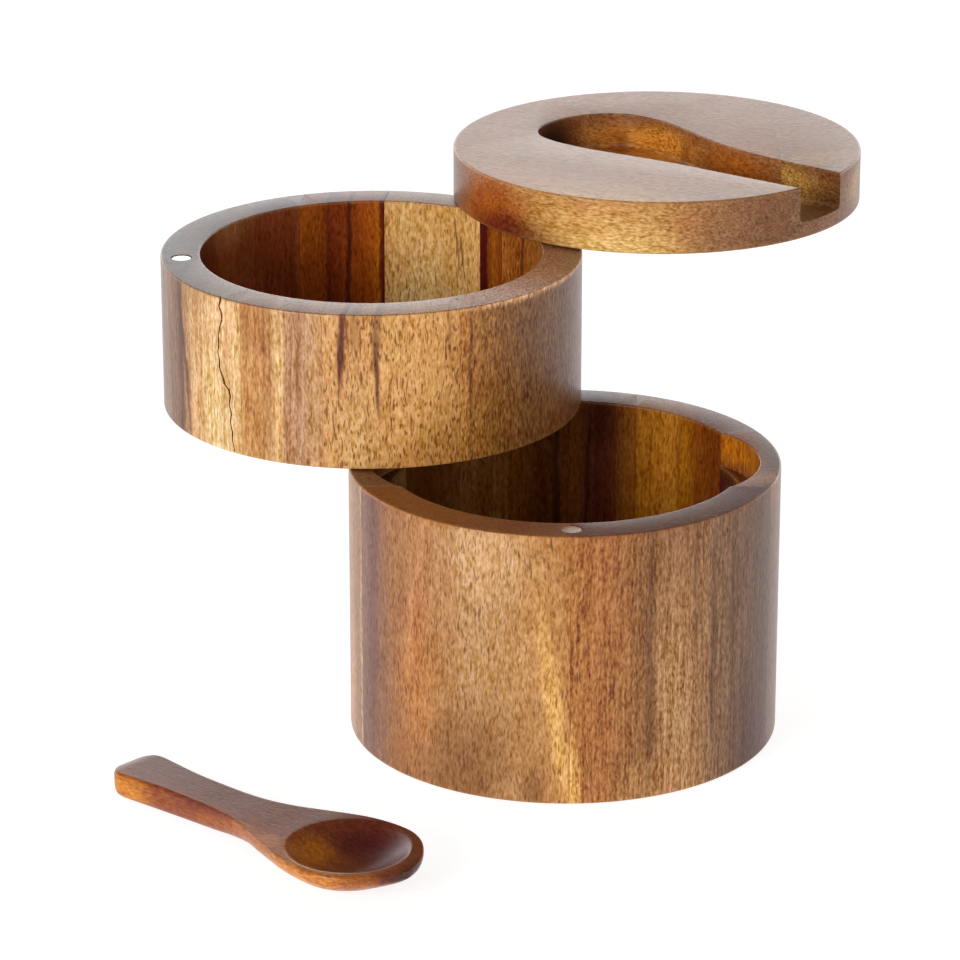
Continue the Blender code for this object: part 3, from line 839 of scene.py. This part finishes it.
def recess_levels():
    """How far the pocket's outline grows at each height, from its floor up."""
    foot_z = lid.top - RECESS_DEPTH + RECESS_FOOT
    levels = quarter(-RECESS_FOOT, foot_z, RECESS_FOOT, -90.0, RECESS_FOOT_STEPS)
    levels += reversed(quarter(INNER_EASE, lid.top - INNER_EASE, INNER_EASE, 90.0))
    return levels + [(INNER_EASE, lid.top + OPEN_END)]


def recess_cutter():
    """Spoon-shaped pocket with a rounded foot and eased upper edge."""
    cos_h, sin_h = math.cos(RECESS_HEADING), math.sin(RECESS_HEADING)
    path = recess_path()
    rings = []
    for grow, z in recess_levels():
        ring = []
        for u, v, nu, nv in path:
            a, b = u + grow * nu, v + grow * nv
            ring.append((lid.x + a * cos_h - b * sin_h, lid.y + a * sin_h + b * cos_h, z))
        rings.append(ring)
    return loft("recess_cutter", rings)


def lid_disc():
    """Whole lid before its recess and seam."""
    outline = [
        (lid.radius - 2.0 * EASE, lid.base),
        *quarter(lid.radius - EASE, lid.base + EASE, EASE, -90.0),
        *quarter(lid.radius - EASE, lid.top - EASE, EASE, 0.0),
        (lid.radius - 2.0 * EASE, lid.top),
    ]
    return turned_disc("lid_blank", lid.x, lid.y, outline)


# ---- spoon ----
# Stations along the spoon, in mm: (distance from the handle's end, half width,
# top height, underside height, squareness of the underside).
SPOON_STATIONS = (
    (-1.5, 0.8, 5.4, 1.8, 3), (-1.3, 2.2, 5.9, 1.3, 3.2), (-0.8, 3.7, 6.4, 0.8, 3.5),
    (-0.1, 5, 6.7, 0.4, 3.8), (0.6, 5.9, 6.85, 0.2, 4.1), (1.5, 6.75, 6.95, 0.1, 4.3),
    (2.8, 7.25, 7, 0, 4.5), (5, 7.3, 7, 0, 4.5), (9, 6.9, 7, 0, 4.5),
    (17, 6.2, 7, 0, 4.5), (25, 6.1, 7, 0.2, 4.2), (33, 6.3, 7, 0.5, 3.8),
    (40, 7, 7.1, 1, 3.2), (47, 8.8, 7.2, 1.4, 2.6), (53, 11.2, 7.3, 1.2, 2.3),
    (59, 13.4, 7.5, 0.7, 2.1), (64, 15.1, 7.6, 0.3, 2), (69, 16, 7.7, 0, 2),
    (74, 16.3, 7.7, 0, 2), (78, 15.7, 7.7, 0.4, 2), (82, 13.7, 7.7, 1.4, 2),
    (85, 11.1, 7.6, 2.6, 2), (87.6, 8, 7.6, 3.7, 2), (89.4, 5, 7.5, 4.6, 2),
    (90.4, 1.8, 7.2, 5.4, 2),
)
SPOON_LOFT_STEPS = 10


def spoon_point(u, v, z):
    """World point from spoon-local millimetres."""
    cos_h, sin_h = math.cos(SPOON_HEADING), math.sin(SPOON_HEADING)
    x = SPOON_START[0] + (u * cos_h - v * sin_h) * MM
    y = SPOON_START[1] + (u * sin_h + v * cos_h) * MM
    return (x, y, max(z, 0.0) * MM)


def bowl_drop(u, v):
    """Depth of the hollow at a point of the spoon's top, in mm."""
    sphere = (SPOON_BOWL_R ** 2 + SPOON_BOWL_DEPTH ** 2) / (2.0 * SPOON_BOWL_DEPTH)
    reach = min(math.hypot(u - SPOON_BOWL_AT, v), sphere)
    drop = math.sqrt(max(sphere ** 2 - reach ** 2, 0.0)) - (sphere - SPOON_BOWL_DEPTH)
    return 0.5 * (drop + math.hypot(drop, SPOON_BOWL_SOFTNESS))


def spoon_section(u, half, top, under, square):
    """One closed section of the spoon."""
    half -= SPOON_INSET
    edge = min(SPOON_EDGE, 0.35 * half, 0.3 * (top - under))
    turns = [math.radians(90.0 * i / SPOON_EDGE_STEPS) for i in range(1, SPOON_EDGE_STEPS)]
    ease = [(half - edge + edge * math.sin(t), top - edge * (1.0 - math.cos(t))) for t in turns]
    ring = []
    for i in range(SPOON_TOP_STEPS + 1):
        v = (half - edge) * (1.0 - 2.0 * i / SPOON_TOP_STEPS)
        ring.append(spoon_point(u, v, top - bowl_drop(u, v)))
    ring += [spoon_point(u, -v, z) for v, z in ease]
    depth = top - edge - under
    for i in range(SPOON_UNDER_STEPS + 1):
        phi = math.pi * i / SPOON_UNDER_STEPS
        side, down = math.cos(phi), math.sin(phi)
        v = -half * math.copysign(abs(side) ** (2.0 / square), side)
        ring.append(spoon_point(u, v, top - edge - depth * abs(down) ** (2.0 / square)))
    ring += [spoon_point(u, v, z) for v, z in reversed(ease)]
    return ring


def spoon_body():
    """Whole spoon."""
    stations = smooth_path(SPOON_STATIONS, SPOON_LOFT_STEPS)
    return loft("spoon_carved", [spoon_section(*station) for station in stations])


# ---- woods of each piece ----
# Turns of a board's own frame: colour bands along X, along Y, along the tray's
# boards, and up a bottom disc, whose grain lies level.
STRAIGHT = (0.0, 0.0, 0.0)
SIDEWAYS = (0.0, 0.0, math.radians(90.0))
TILTED = (0.0, 0.0, MIDDLE_SEAM_TILT)
LYING = (0.0, math.radians(90.0), 0.0)
RIM_PATCH_HALF = 1.8
RECESS_WALL = 7.0


def level_turn(heading):
    """Turn of a board's frame whose grain lies level along a heading in degrees."""
    along = Vector((math.cos(math.radians(heading)), math.sin(math.radians(heading)), 0.0))
    return tuple(along.to_track_quat("Z", "Y").to_euler())


def face(x, z, half_x, half_z, tint, strength, lean=0.0):
    """Patch of a board that shows on its outer face, through the whole board."""
    return ((x, 0.0, z), (half_x, EVERYWHERE, half_z), lean, tint, strength)


def rim(height, tint, strength):
    """Patch that shows on the flat of a rim at this height over the board's foot."""
    return ((0.0, 0.0, height), (EVERYWHERE, EVERYWHERE, RIM_PATCH_HALF), 0.0, tint, strength)


# Rows of the tables: (node, turn of the board's frame, bands, patches, settings of
# wood). Bands are (mm across the board, display colour). Patches are as in wood.
LOWER_WOODS = (
    ("lower_front_left_board", STRAIGHT,
     ((-50, "8c644e"), (-47.6, "825c4a"), (-45.8, "7a5446"), (-43.6, "90644a"), (-41, "a06e48"),
      (-35, "b68054"), (-29, "b48458"), (-22, "c09468"), (-16, "bc8e60"), (-10, "c08e5c"),
      (-4, "bc8854"), (2, "ba824c")),
     (face(-19, 60, 11, 14, "d4a878", 0.6), face(-23, 4, 13, 27, "8a5c38", 0.85, 10),
      face(-38, 2, 5, 15, "925e38", 0.6), face(-8, 3, 4, 11, "92643e", 0.8),
      face(-50.5, 8, 3.5, 26, "604032", 0.7), face(-35.5, 26, 5, 22, "be804e", 0.7),
      face(-10, 18, 4.5, 14, "b28052", 0.6, 14), face(-3, 22, 3, 34, "e2ae66", 0.85, -8),
      face(-45.8, 44, 1.5, 40, "76504a", 0.7), face(1.5, 66, 4, 20, "a86e3a", 0.7),
      rim(68.2, "bc702e", 0.85)),
     dict(seed=1.3, grain=0.95, streak=0.5, dashes=1.2)),
    # Front-right board: the bands darkening from 42 mm to its edge, and the dark patch low at 46 mm,
    # are painted shade at the right edge.
    ("lower_front_right_board", STRAIGHT,
     ((-2, "b6804c"), (3, "ac7242"), (8, "aa7044"), (13, "a46e44"), (17.5, "986a44"), (19.5, "8c6242"),
      (21.5, "a4764e"), (28, "ac7e54"), (32, "9e724c"), (35, "906a4c"), (42, "7c5a42"), (47, "684a36"),
      (51, "583c2c")),
     (face(0.6, 4, 3.2, 24, "e2ac62", 0.85, -4), face(25, 26, 5, 20, "c09262", 0.7),
      face(16, 4, 5, 12, "8c6036", 0.6, 6), face(27, 66, 8, 18, "926646", 0.8),
      face(19.4, 40, 0.7, 60, "74503a", 0.6, 1), face(39, 30, 1, 50, "684834", 0.5),
      face(34.6, 40, 0.8, 40, "62422e", 0.5), face(30, 52, 0.7, 24, "6e4a32", 0.5),
      face(46, 0, 9, 36, "5e3a26", 0.8), face(22, 2, 14, 12, "c69460", 0.5), rim(68.2, "743424", 0.95)),
     dict(seed=5.1, grain=1.35, streak=2, dashes=1.2)),
    ("lower_left_board", SIDEWAYS,
     ((-19, "b48c68"), (-16.5, "966c4e"), (-8, "a87850"), (0, "966640"), (7, "885a3a"), (13, "a87a4e"),
      (19, "b48658")),
     (face(2, 30, 3, 50, "704a32", 0.6, 2), face(-10, 14, 4, 20, "ba8854", 0.6, -4)),
     dict(seed=9.7, streak=1)),
    ("lower_right_board", SIDEWAYS,
     # Its dark bands are painted shade, carrying on the dark right edge of the front-right board.
     ((-19, "704e38"), (-12, "76523c"), (-7, "785640"), (0, "7a5844"), (9, "805c48"), (19, "84604c")),
     # Inside, the dark patch over the bore is painted shade below the ledge, and the orange patch above
     # it is painted light on the scallop's wall.
     (face(5, 20, 2, 30, "684634", 0.6, 1), ((0, -36, 30), (60, 10, EVERYWHERE), 0, "583016", 0.95),
      ((0, -42, 64.2), (60, 9, 7.4), 0, "d4802e", 0.95), rim(69, "6c402e", 0.9),
      ((-13, -50, 69), (8, 9, 2.6), 0, "ffce96", 0.95)),
     dict(seed=13.9, streak=1.2)),
    ("lower_back_left_board", STRAIGHT,
     ((-50, "966c48"), (-34, "805432"), (-22, "a87648"), (-12, "966438"), (-4, "744a2a"), (3, "805230"),
      (9, "623c24"), (13, "704424"), (15, "8c5828"), (19, "9c622c")),
     (face(-1.5, 40, 1, 60, "4c2c1c", 0.7), face(6, 30, 0.8, 50, "4c2c1c", 0.7, 1),
      face(-16, 30, 3, 30, "be8852", 0.5, 2)),
     dict(seed=17.3, streak=1.2)),
    ("lower_back_right_board", STRAIGHT,
     ((16, "aa6c2e"), (20, "ba7a36"), (26, "c8883e"), (30, "ba7834"), (34, "9a5c26"), (39, "8c5020"),
      (50, "8c5e38")),
     (face(28.6, 50, 0.6, 30, "804a22", 0.5), face(35, 40, 2.2, 50, "925422", 0.6)),
     dict(seed=21.7, streak=0.8)),
    ("lower_floor", LYING,
     ((-10, "966840"), (-3, "b28050"), (3, "96643c"), (10, "a87648")),
     (),
     dict(seed=25.1, wave=5, streak=1)),
)

MIDDLE_WOODS = (
    ("middle_end_board_left", TILTED,
     ((-52, "8c6a52"), (-47, "88644c"), (-43.6, "7e5a42"), (-41.8, "60402e"), (-40.6, "aa7c54"),
      (-37.4, "d2a876"), (-30, "deb886"), (-24, "d4aa74")),
     (face(-41, 24, 0.7, 40, "543628", 0.8, -5), face(-32.6, 10, 3.2, 18, "e6c48e", 0.7),
      face(-28, 26, 1.6, 20, "ca9a68", 0.5, 3), face(-36.8, 34, 1.2, 12, "bc844e", 0.6, 3),
      face(-48.6, 20, 1, 40, "624636", 0.6), face(-45.6, 16, 0.7, 30, "604232", 0.6, -2),
      # The dark patch over the back half is painted shade on the inner wall at the left, in part the
      # board's own darker tone; the two patches after it give the outer back and left faces their own
      # colour again.
      ((-36, 30, 20), (40, 33, EVERYWHERE), 0, "884612", 0.95),
      ((-46, 42, 20), (17, 14, EVERYWHERE), 0, "96643e", 0.95),
      ((-56, 24, 20), (14, 20, EVERYWHERE), 0, "966846", 0.95), face(-37.5, 40, 5, 9, "ac8056", 0.6),
      # Dark rim flat at the left end: painted shade, the duller sheen that end of the rim shows.
      rim(40, "3c261e", 0.95)),
     dict(seed=2.9, wave=0.8, grain=0.9, streak=1.3, dashes=0.9)),
    ("middle_front_board_left", TILTED,
     ((-26, "c8945e"), (-21, "ca9862"), (-16.8, "b68656"), (-14.7, "d6aa74"), (-12.8, "ba8c66"),
      (-8.5, "b88a66"), (-6.4, "c89a70"), (-4, "c49466")),
     (face(-21, 8, 3.5, 18, "b67e48", 0.6), face(-21, 36, 5, 15, "a47044", 0.75),
      face(-9.6, 30, 0.7, 26, "926046", 0.6), face(-11.6, 22, 0.6, 30, "966242", 0.5, 2),
      face(-14.4, 16, 1, 22, "e2b87e", 0.6, 3), face(-18, 30, 0.6, 14, "a06a3e", 0.5)),
     dict(seed=6.3, wave=0.7, streak=1.3, dashes=0.9)),
    ("middle_front_board_right", TILTED,
     ((-5, "d09e68"), (-1.5, "d09e66"), (2, "c8945e"), (6, "d4a068"), (10, "dca466"), (16, "e0a868"),
      (22, "e0a866"), (27.9, "d69e60")),
     (face(1, 32, 0.8, 15, "683820", 0.95, 3), face(0.2, 27, 0.5, 9, "5c301c", 0.8),
      face(2.2, 36, 0.4, 7, "60321e", 0.7, -4), face(9.5, 34, 1.3, 10, "704024", 0.85, 1),
      face(9.6, 25, 0.7, 13, "64381e", 0.85, -2), face(9.6, 18, 0.4, 8, "704224", 0.6, -3),
      face(4.2, 36, 1.4, 8, "966236", 0.6), face(4.5, 4, 6, 15, "deae70", 0.75),
      face(13, 35, 5, 12, "d4a262", 0.6), face(24, 4, 7, 14, "c0864a", 0.6),
      face(25.6, 34, 0.5, 12, "925c36", 0.6, -3)),
     dict(seed=10.7, wave=1, grain=0.95, streak=0.5, dashes=2)),
    ("middle_back_board_left", TILTED,
     ((-26, "b06424"), (-20, "a05a22"), (-16, "8c4a1c"), (-11, "a45822"), (-7, "b26228"),
      (-5.4, "c47432"), (-4.2, "6e3a18")),
     (face(-12.6, 26, 0.7, 40, "4e2814", 0.8, 1), face(-17.4, 30, 0.6, 40, "5c3218", 0.6, -1)),
     dict(seed=14.1, wave=1, streak=0.9)),
    # Back-right board: its pale bands and the paler patch low down are painted light on the inner wall,
    # brighter than the wood; the patch at 59 mm gives the outer face the board's own colour.
    ("middle_back_board_right", TILTED,
     ((-6, "f6c27c"), (2, "fac880"), (10, "f6c27a"), (17, "f0ba72"), (22.4, "f4be76")),
     (face(8, 2, 30, 26, "ffde96", 0.8), face(12, 24, 2.6, 16, "e2aa64", 0.5, 10),
      face(15.5, 30, 0.4, 10, "744828", 0.7, -8), face(17, 26, 0.4, 9, "784a28", 0.6, -8),
      ((8, 59, 20), (50, 14, EVERYWHERE), 0, "c48c54", 0.95), rim(39.8, "966040", 0.9)),
     dict(seed=18.5, wave=0.9, streak=0.4, dashes=1.2)),
    ("middle_back_strip", TILTED,
     ((22, "683416"), (23.6, "602e12"), (24.4, "965822"), (26.2, "aa6628"), (27, "965420"),
      (29, "965420")),
     (),
     dict(seed=22.9, wave=0.5, streak=1)),
    ("middle_end_board_right", TILTED,
     ((26, "ce9456"), (29, "c88e50"), (31.6, "b47c46"), (33.4, "aa7642"), (38, "9c6c40"),
      (44, "8e6240"), (52, "7c563e")),
     (face(30.8, 26, 0.5, 40, "623a1e", 0.6), ((34, 24, 20), (14, 26, EVERYWHERE), 0, "a46024", 0.85),
      ((34.6, 26, 20), (0.7, 26, EVERYWHERE), 0, "5a2e14", 0.7),
      # Pale patch on the rim's flat at the right end: painted highlight, the brighter sheen that end of
      # the rim shows.
      ((40, -22, 39.4), (30, 40, 2.2), 0, "ffc896", 0.95)),
     dict(seed=26.3, wave=0.8, grain=1.7, streak=0.8, dashes=1.5)),
    ("middle_floor", LYING,
     ((-10, "a67244"), (-2, "ba8650"), (4, "9e6a3e"), (10, "b07c4a")),
     (),
     dict(seed=30.7, wave=5, streak=1)),
)

LID_WOODS = (
    ("lid_main_board", level_turn(-20),
     ((-52, "ce9a5c"), (-44, "ba8450"), (-30, "a87248"), (-16, "a06c46"), (0, "a67048"), (18, "9e6a46"),
      (36, "a46e48"), (52, "a06c46")),
     (((-48, 4, 4), (10, 9, 19), 0, "e8b66e", 0.9), ((-44, 5, -34), (17, 14, 20), 0, "b46416", 0.95),
      # The dark patch low at the front left of the side is painted shade, over the tray below.
      ((-46, 0, -25), (15, 5, 18), 0, "703810", 0.85), ((-40, 0, 34), (12, 4.5, 20), 0, "be8c60", 0.6),
      ((-48, 0, 6), (10, 4.5, 20), 0, "ffd488", 0.6),
      ((-38, 6, 38), (12, EVERYWHERE, 26), 0, "966a4a", 0.85),
      ((20, RECESS_WALL, -8), (19, 6.5, 26), 14, "f0a048", 0.95),
      ((22, RECESS_WALL, -17), (5, 5, 3.4), 30, "a05a2c", 0.8),
      ((14, RECESS_WALL, 2), (6, 5, 3), -25, "965428", 0.7),
      # The very dark patch at the recess's round end is painted shade on its wall.
      ((9, RECESS_WALL, -33), (14, 7, 9), 0, "2c1810", 0.95),
      ((4, RECESS_WALL, 20), (14, 6.5, 18), 14, "ba6e2e", 0.9)),
     dict(seed=4.7, wave=2.6, grain=1.15, streak=0.35, relief=0.25)),
    ("lid_end_board", level_turn(15),
     ((-52, "865e42"), (-30, "926444"), (0, "a06c48"), (20, "9e6c48"), (52, "966848")),
     # The pale patch on the recess wall near the notch is painted light.
     (((-23, RECESS_WALL, 34), (13, 7.2, 26), 0, "ffcc70", 0.98),
      # The dark patch along the right of the side is painted shade.
      ((-10, 5, 50), (34, 9, 11), 0, "5c3e2c", 0.7)),
     dict(seed=8.9, wave=1.4, grain=1.5, streak=0.3, dashes=1.3, relief=0.25)),
)

SPOON_BANDS = (
    (-17, "b47442"), (-8, "aa6436"), (-5.5, "8c4c32"), (0, "7c4836"), (9, "784634"), (17, "6e3c28"),
)
SPOON_PATCHES = (
    ((-8, 3, 4), (3.2, 6, 16), 0, "ce8438", 0.9), ((-6.6, 6.4, 30), (1, 2, 13), 0, "682e18", 0.85),
    ((-9, 2, 34), (4, 6, 18), 0, "b86c3a", 0.7), ((-4, 3, 63), (8, 5.5, 9), 0, "be7422", 0.95),
    ((8, 4, 74), (7.5, 6, 15), 0, "5c2616", 0.9), ((-15, 4, 72), (4, 5, 20), 0, "ce823e", 0.9),
    ((3, 3, 91), (14, 8, 5), 0, "54362a", 0.7),
)


def rims_of(tier, *wells):
    """Arrises that hands rub: the outer edges, and the mouth of each well."""
    edges = [(tier.radius, tier.top), (tier.radius, tier.base)]
    edges += [(well, tier.top) for well in wells]
    return tuple((tier.x, tier.y, radius, height) for radius, height in edges)


def woods_of(tier, rows, rims, more_rims={}):
    """Woods of a tier's pieces; a board named in more_rims has those rims too."""
    place = (tier.x, tier.y, tier.base)
    woods = {}
    for node, turn, bands, patches, settings in rows:
        wear_and_highlight_rims = () if node.endswith("_floor") else rims + more_rims.get(node, ())
        name = "acacia_" + node.replace("_board", "")
        woods[node] = wood(name, place, turn, bands, patches, rims=wear_and_highlight_rims, **settings)
    return woods


def lower_woods():
    """Woods of the lower boards and bottom."""
    # Arrises round the scallop: the pale line along the ledge's edge is a painted highlight, the one
    # round the scallop's mouth is wear.
    scallop_wear_and_highlight = (
        (lower.x, lower.y, LOWER_WELL_R, lower.top - LOBE_DEPTH),
        (lower.x + LOBE_OFFSET, lower.y, LOBE_R, lower.top),
    )
    rims = rims_of(lower, LOWER_WELL_R)
    return woods_of(lower, LOWER_WOODS, rims, {"lower_right_board": scallop_wear_and_highlight})


def spoon_wood():
    """Reddish wood of the spoon, its grain along the handle."""
    return wood("acacia_spoon", (*SPOON_START, 0.0), level_turn(math.degrees(SPOON_HEADING)),
                SPOON_BANDS, SPOON_PATCHES, seed=12.3, wave=1.2, dashes=0.6, relief=0.35)


# ---- assembly ----
def build_boards(blank, tier, heading, rows, woods, glue=GLUE_LINE):
    """Cut a blank into boards: rows are (node, range along, range across, cutters)."""
    for node, u_range, v_range, cutters in rows:
        planes = board_planes(tier.x, tier.y, heading, u_range, v_range, glue)
        obj = keep_inside(blank, node + "_wood", planes)
        if cutters:
            cut_away(obj, cutters)
        stand_for(obj, node, woods[node])


def build_lower(nickel):
    """Boards, bottom and rim magnet of the lower tier."""
    woods = lower_woods()
    front = between(1, "lower_front_left_board", "lower_left_board")
    back = between(1, "lower_left_board", "lower_back_left_board")
    front_x = between(0, "lower_front_left_board", "lower_front_right_board")
    back_x = between(0, "lower_back_left_board", "lower_back_right_board")
    seat = top_magnet_hole("lower_rim_magnet")
    pin = pin_hole("lower_pivot_pin")
    boards = (
        ("lower_front_left_board", (None, front_x), (None, front), (seat,)),
        ("lower_front_right_board", (front_x, None), (None, front), (seat,)),
        ("lower_left_board", (None, 0.0), (front, back), ()),
        ("lower_right_board", (0.0, None), (front, back), ()),
        ("lower_back_left_board", (None, back_x), (back, None), (pin,)),
        ("lower_back_right_board", (back_x, None), (back, None), ()),
    )
    ring = lower_ring()
    build_boards(ring, lower, 0.0, boards, woods)
    discard([ring, seat, pin])
    floor_disc("lower_floor", lower, LOWER_WELL_R - GLUE_LINE, woods["lower_floor"])
    magnet("lower_rim_magnet", nickel)


def build_middle(nickel):
    """Boards, bottom and magnets of the middle tray."""
    woods = woods_of(middle, MIDDLE_WOODS, rims_of(middle, MIDDLE_WELL_R))
    ab, bc, cs, cd = (seam * middle.radius for seam in (SEAM_AB, SEAM_BC, SEAM_CS, SEAM_CD))
    top_seat = top_magnet_hole("middle_rim_magnet")
    under_seat = under_magnet_hole("middle_under_magnet")
    lower_pin, lid_pin = pin_hole("lower_pivot_pin"), pin_hole("lid_pivot_pin")
    crack, pit = crack_cutter(), rim_pit()
    boards = (
        ("middle_end_board_left", (None, ab), (None, None), (top_seat, under_seat, crack)),
        ("middle_front_board_left", (ab, bc), (None, 0.0), ()),
        ("middle_back_board_left", (ab, bc), (0.0, None), ()),
        ("middle_front_board_right", (bc, cd), (None, 0.0), (pit,)),
        ("middle_back_board_right", (bc, cs), (0.0, None), ()),
        ("middle_back_strip", (cs, cd), (0.0, None), ()),
        ("middle_end_board_right", (cd, None), (None, None), (lower_pin, lid_pin)),
    )
    ring = middle_ring()
    build_boards(ring, middle, MIDDLE_SEAM_TILT, boards, woods)
    discard([ring, top_seat, under_seat, lower_pin, lid_pin, crack, pit])
    floor_disc("middle_floor", middle, MIDDLE_WELL_R - GLUE_LINE, woods["middle_floor"])
    magnet("middle_rim_magnet", nickel)
    magnet("middle_under_magnet", nickel)


def build_lid(nickel):
    """The lid's two boards with the spoon recess, and its magnet."""
    seam = between(0, "lid_main_board", "lid_end_board") - lid.x
    recess = recess_cutter()
    pin = pin_hole("lid_pivot_pin")
    seat = under_magnet_hole("lid_magnet")
    boards = (
        ("lid_main_board", (None, seam), (None, None), (recess, pin, seat)),
        ("lid_end_board", (seam, None), (None, None), (recess,)),
    )
    blank = lid_disc()
    woods = woods_of(lid, LID_WOODS, rims_of(lid))
    build_boards(blank, lid, 0.0, boards, woods, LID_GLUE_LINE)
    discard([blank, recess, pin, seat])
    magnet("lid_magnet", nickel)


def build_pins(steel):
    """Procedural steel on the two swivel pins of the frame."""
    for node in ("lower_pivot_pin", "lid_pivot_pin"):
        paint(frame["nodes"][node], steel)


# ---- studio ----
def build_floor():
    """Pale glowing floor just under the object."""
    bm = bmesh.new()
    bmesh.ops.create_grid(bm, x_segments=1, y_segments=1, size=FLOOR_SIZE)
    floor = new_object("studio_floor", bm)
    floor.location.z = -FLOOR_DROP
    g = Graph(bpy.data.materials.new("pale_floor"))
    g.fill(g.shader, Base_Color=(0.4, 0.4, 0.4, 1.0), Roughness=0.9, Emission_Color=WHITE,
           Emission_Strength=FLOOR_GLOW)
    paint(floor, g.owner)


def build_surround():
    """Soft white light from low all round, stronger from behind."""
    world = bpy.data.worlds.new("soft_surround")
    bpy.context.scene.world = world
    g = Graph(world, "Background")
    _, depth, height = g.split(g.node("ShaderNodeTexCoord").outputs["Generated"])
    low_light = g.smooth(height, *LOW_LIGHT_FADE, 1.0, 0.0)
    front_to_back = g.smooth(depth, *FRONT_TO_BACK, FRONT_LIGHT, BACK_LIGHT)
    total = g.math("MULTIPLY_ADD", low_light, front_to_back, ZENITH_LIGHT)
    g.fill(g.shader, Color=WHITE, Strength=total)


def build_key():
    """Round soft key light at the front left."""
    data = bpy.data.lights.new("key", "AREA")
    data.shape = "DISK"
    data.size = KEY_SIZE
    data.energy = KEY_ENERGY
    key = bpy.data.objects.new("key", data)
    key.location = KEY_AT
    aim = Vector(KEY_AIM) - key.location
    key.rotation_euler = aim.to_track_quat("-Z", "Y").to_euler()
    bpy.context.scene.collection.objects.link(key)


def build_camera():
    """Camera at the photograph's angle."""
    data = bpy.data.cameras.new("photo_view")
    data.lens = CAMERA_LENS
    data.sensor_width = 36.0
    data.clip_end = 10.0
    camera = bpy.data.objects.new("photo_view", data)
    camera.location = CAMERA_AT
    camera.rotation_euler = (math.radians(90.0) - CAMERA_PITCH, 0.0, 0.0)
    bpy.context.scene.collection.objects.link(camera)
    bpy.context.scene.camera = camera
    bpy.context.scene.view_settings.view_transform = "Standard"


steel = metal("pin_steel", "bebeba", 0.28)
nickel = metal("magnet_nickel", "e2ded8", 0.2)
build_floor()
build_surround()
build_key()
build_camera()
build_lower(nickel)
build_middle(nickel)
build_lid(nickel)
build_pins(steel)
stand_for(spoon_body(), "spoon", spoon_wood())
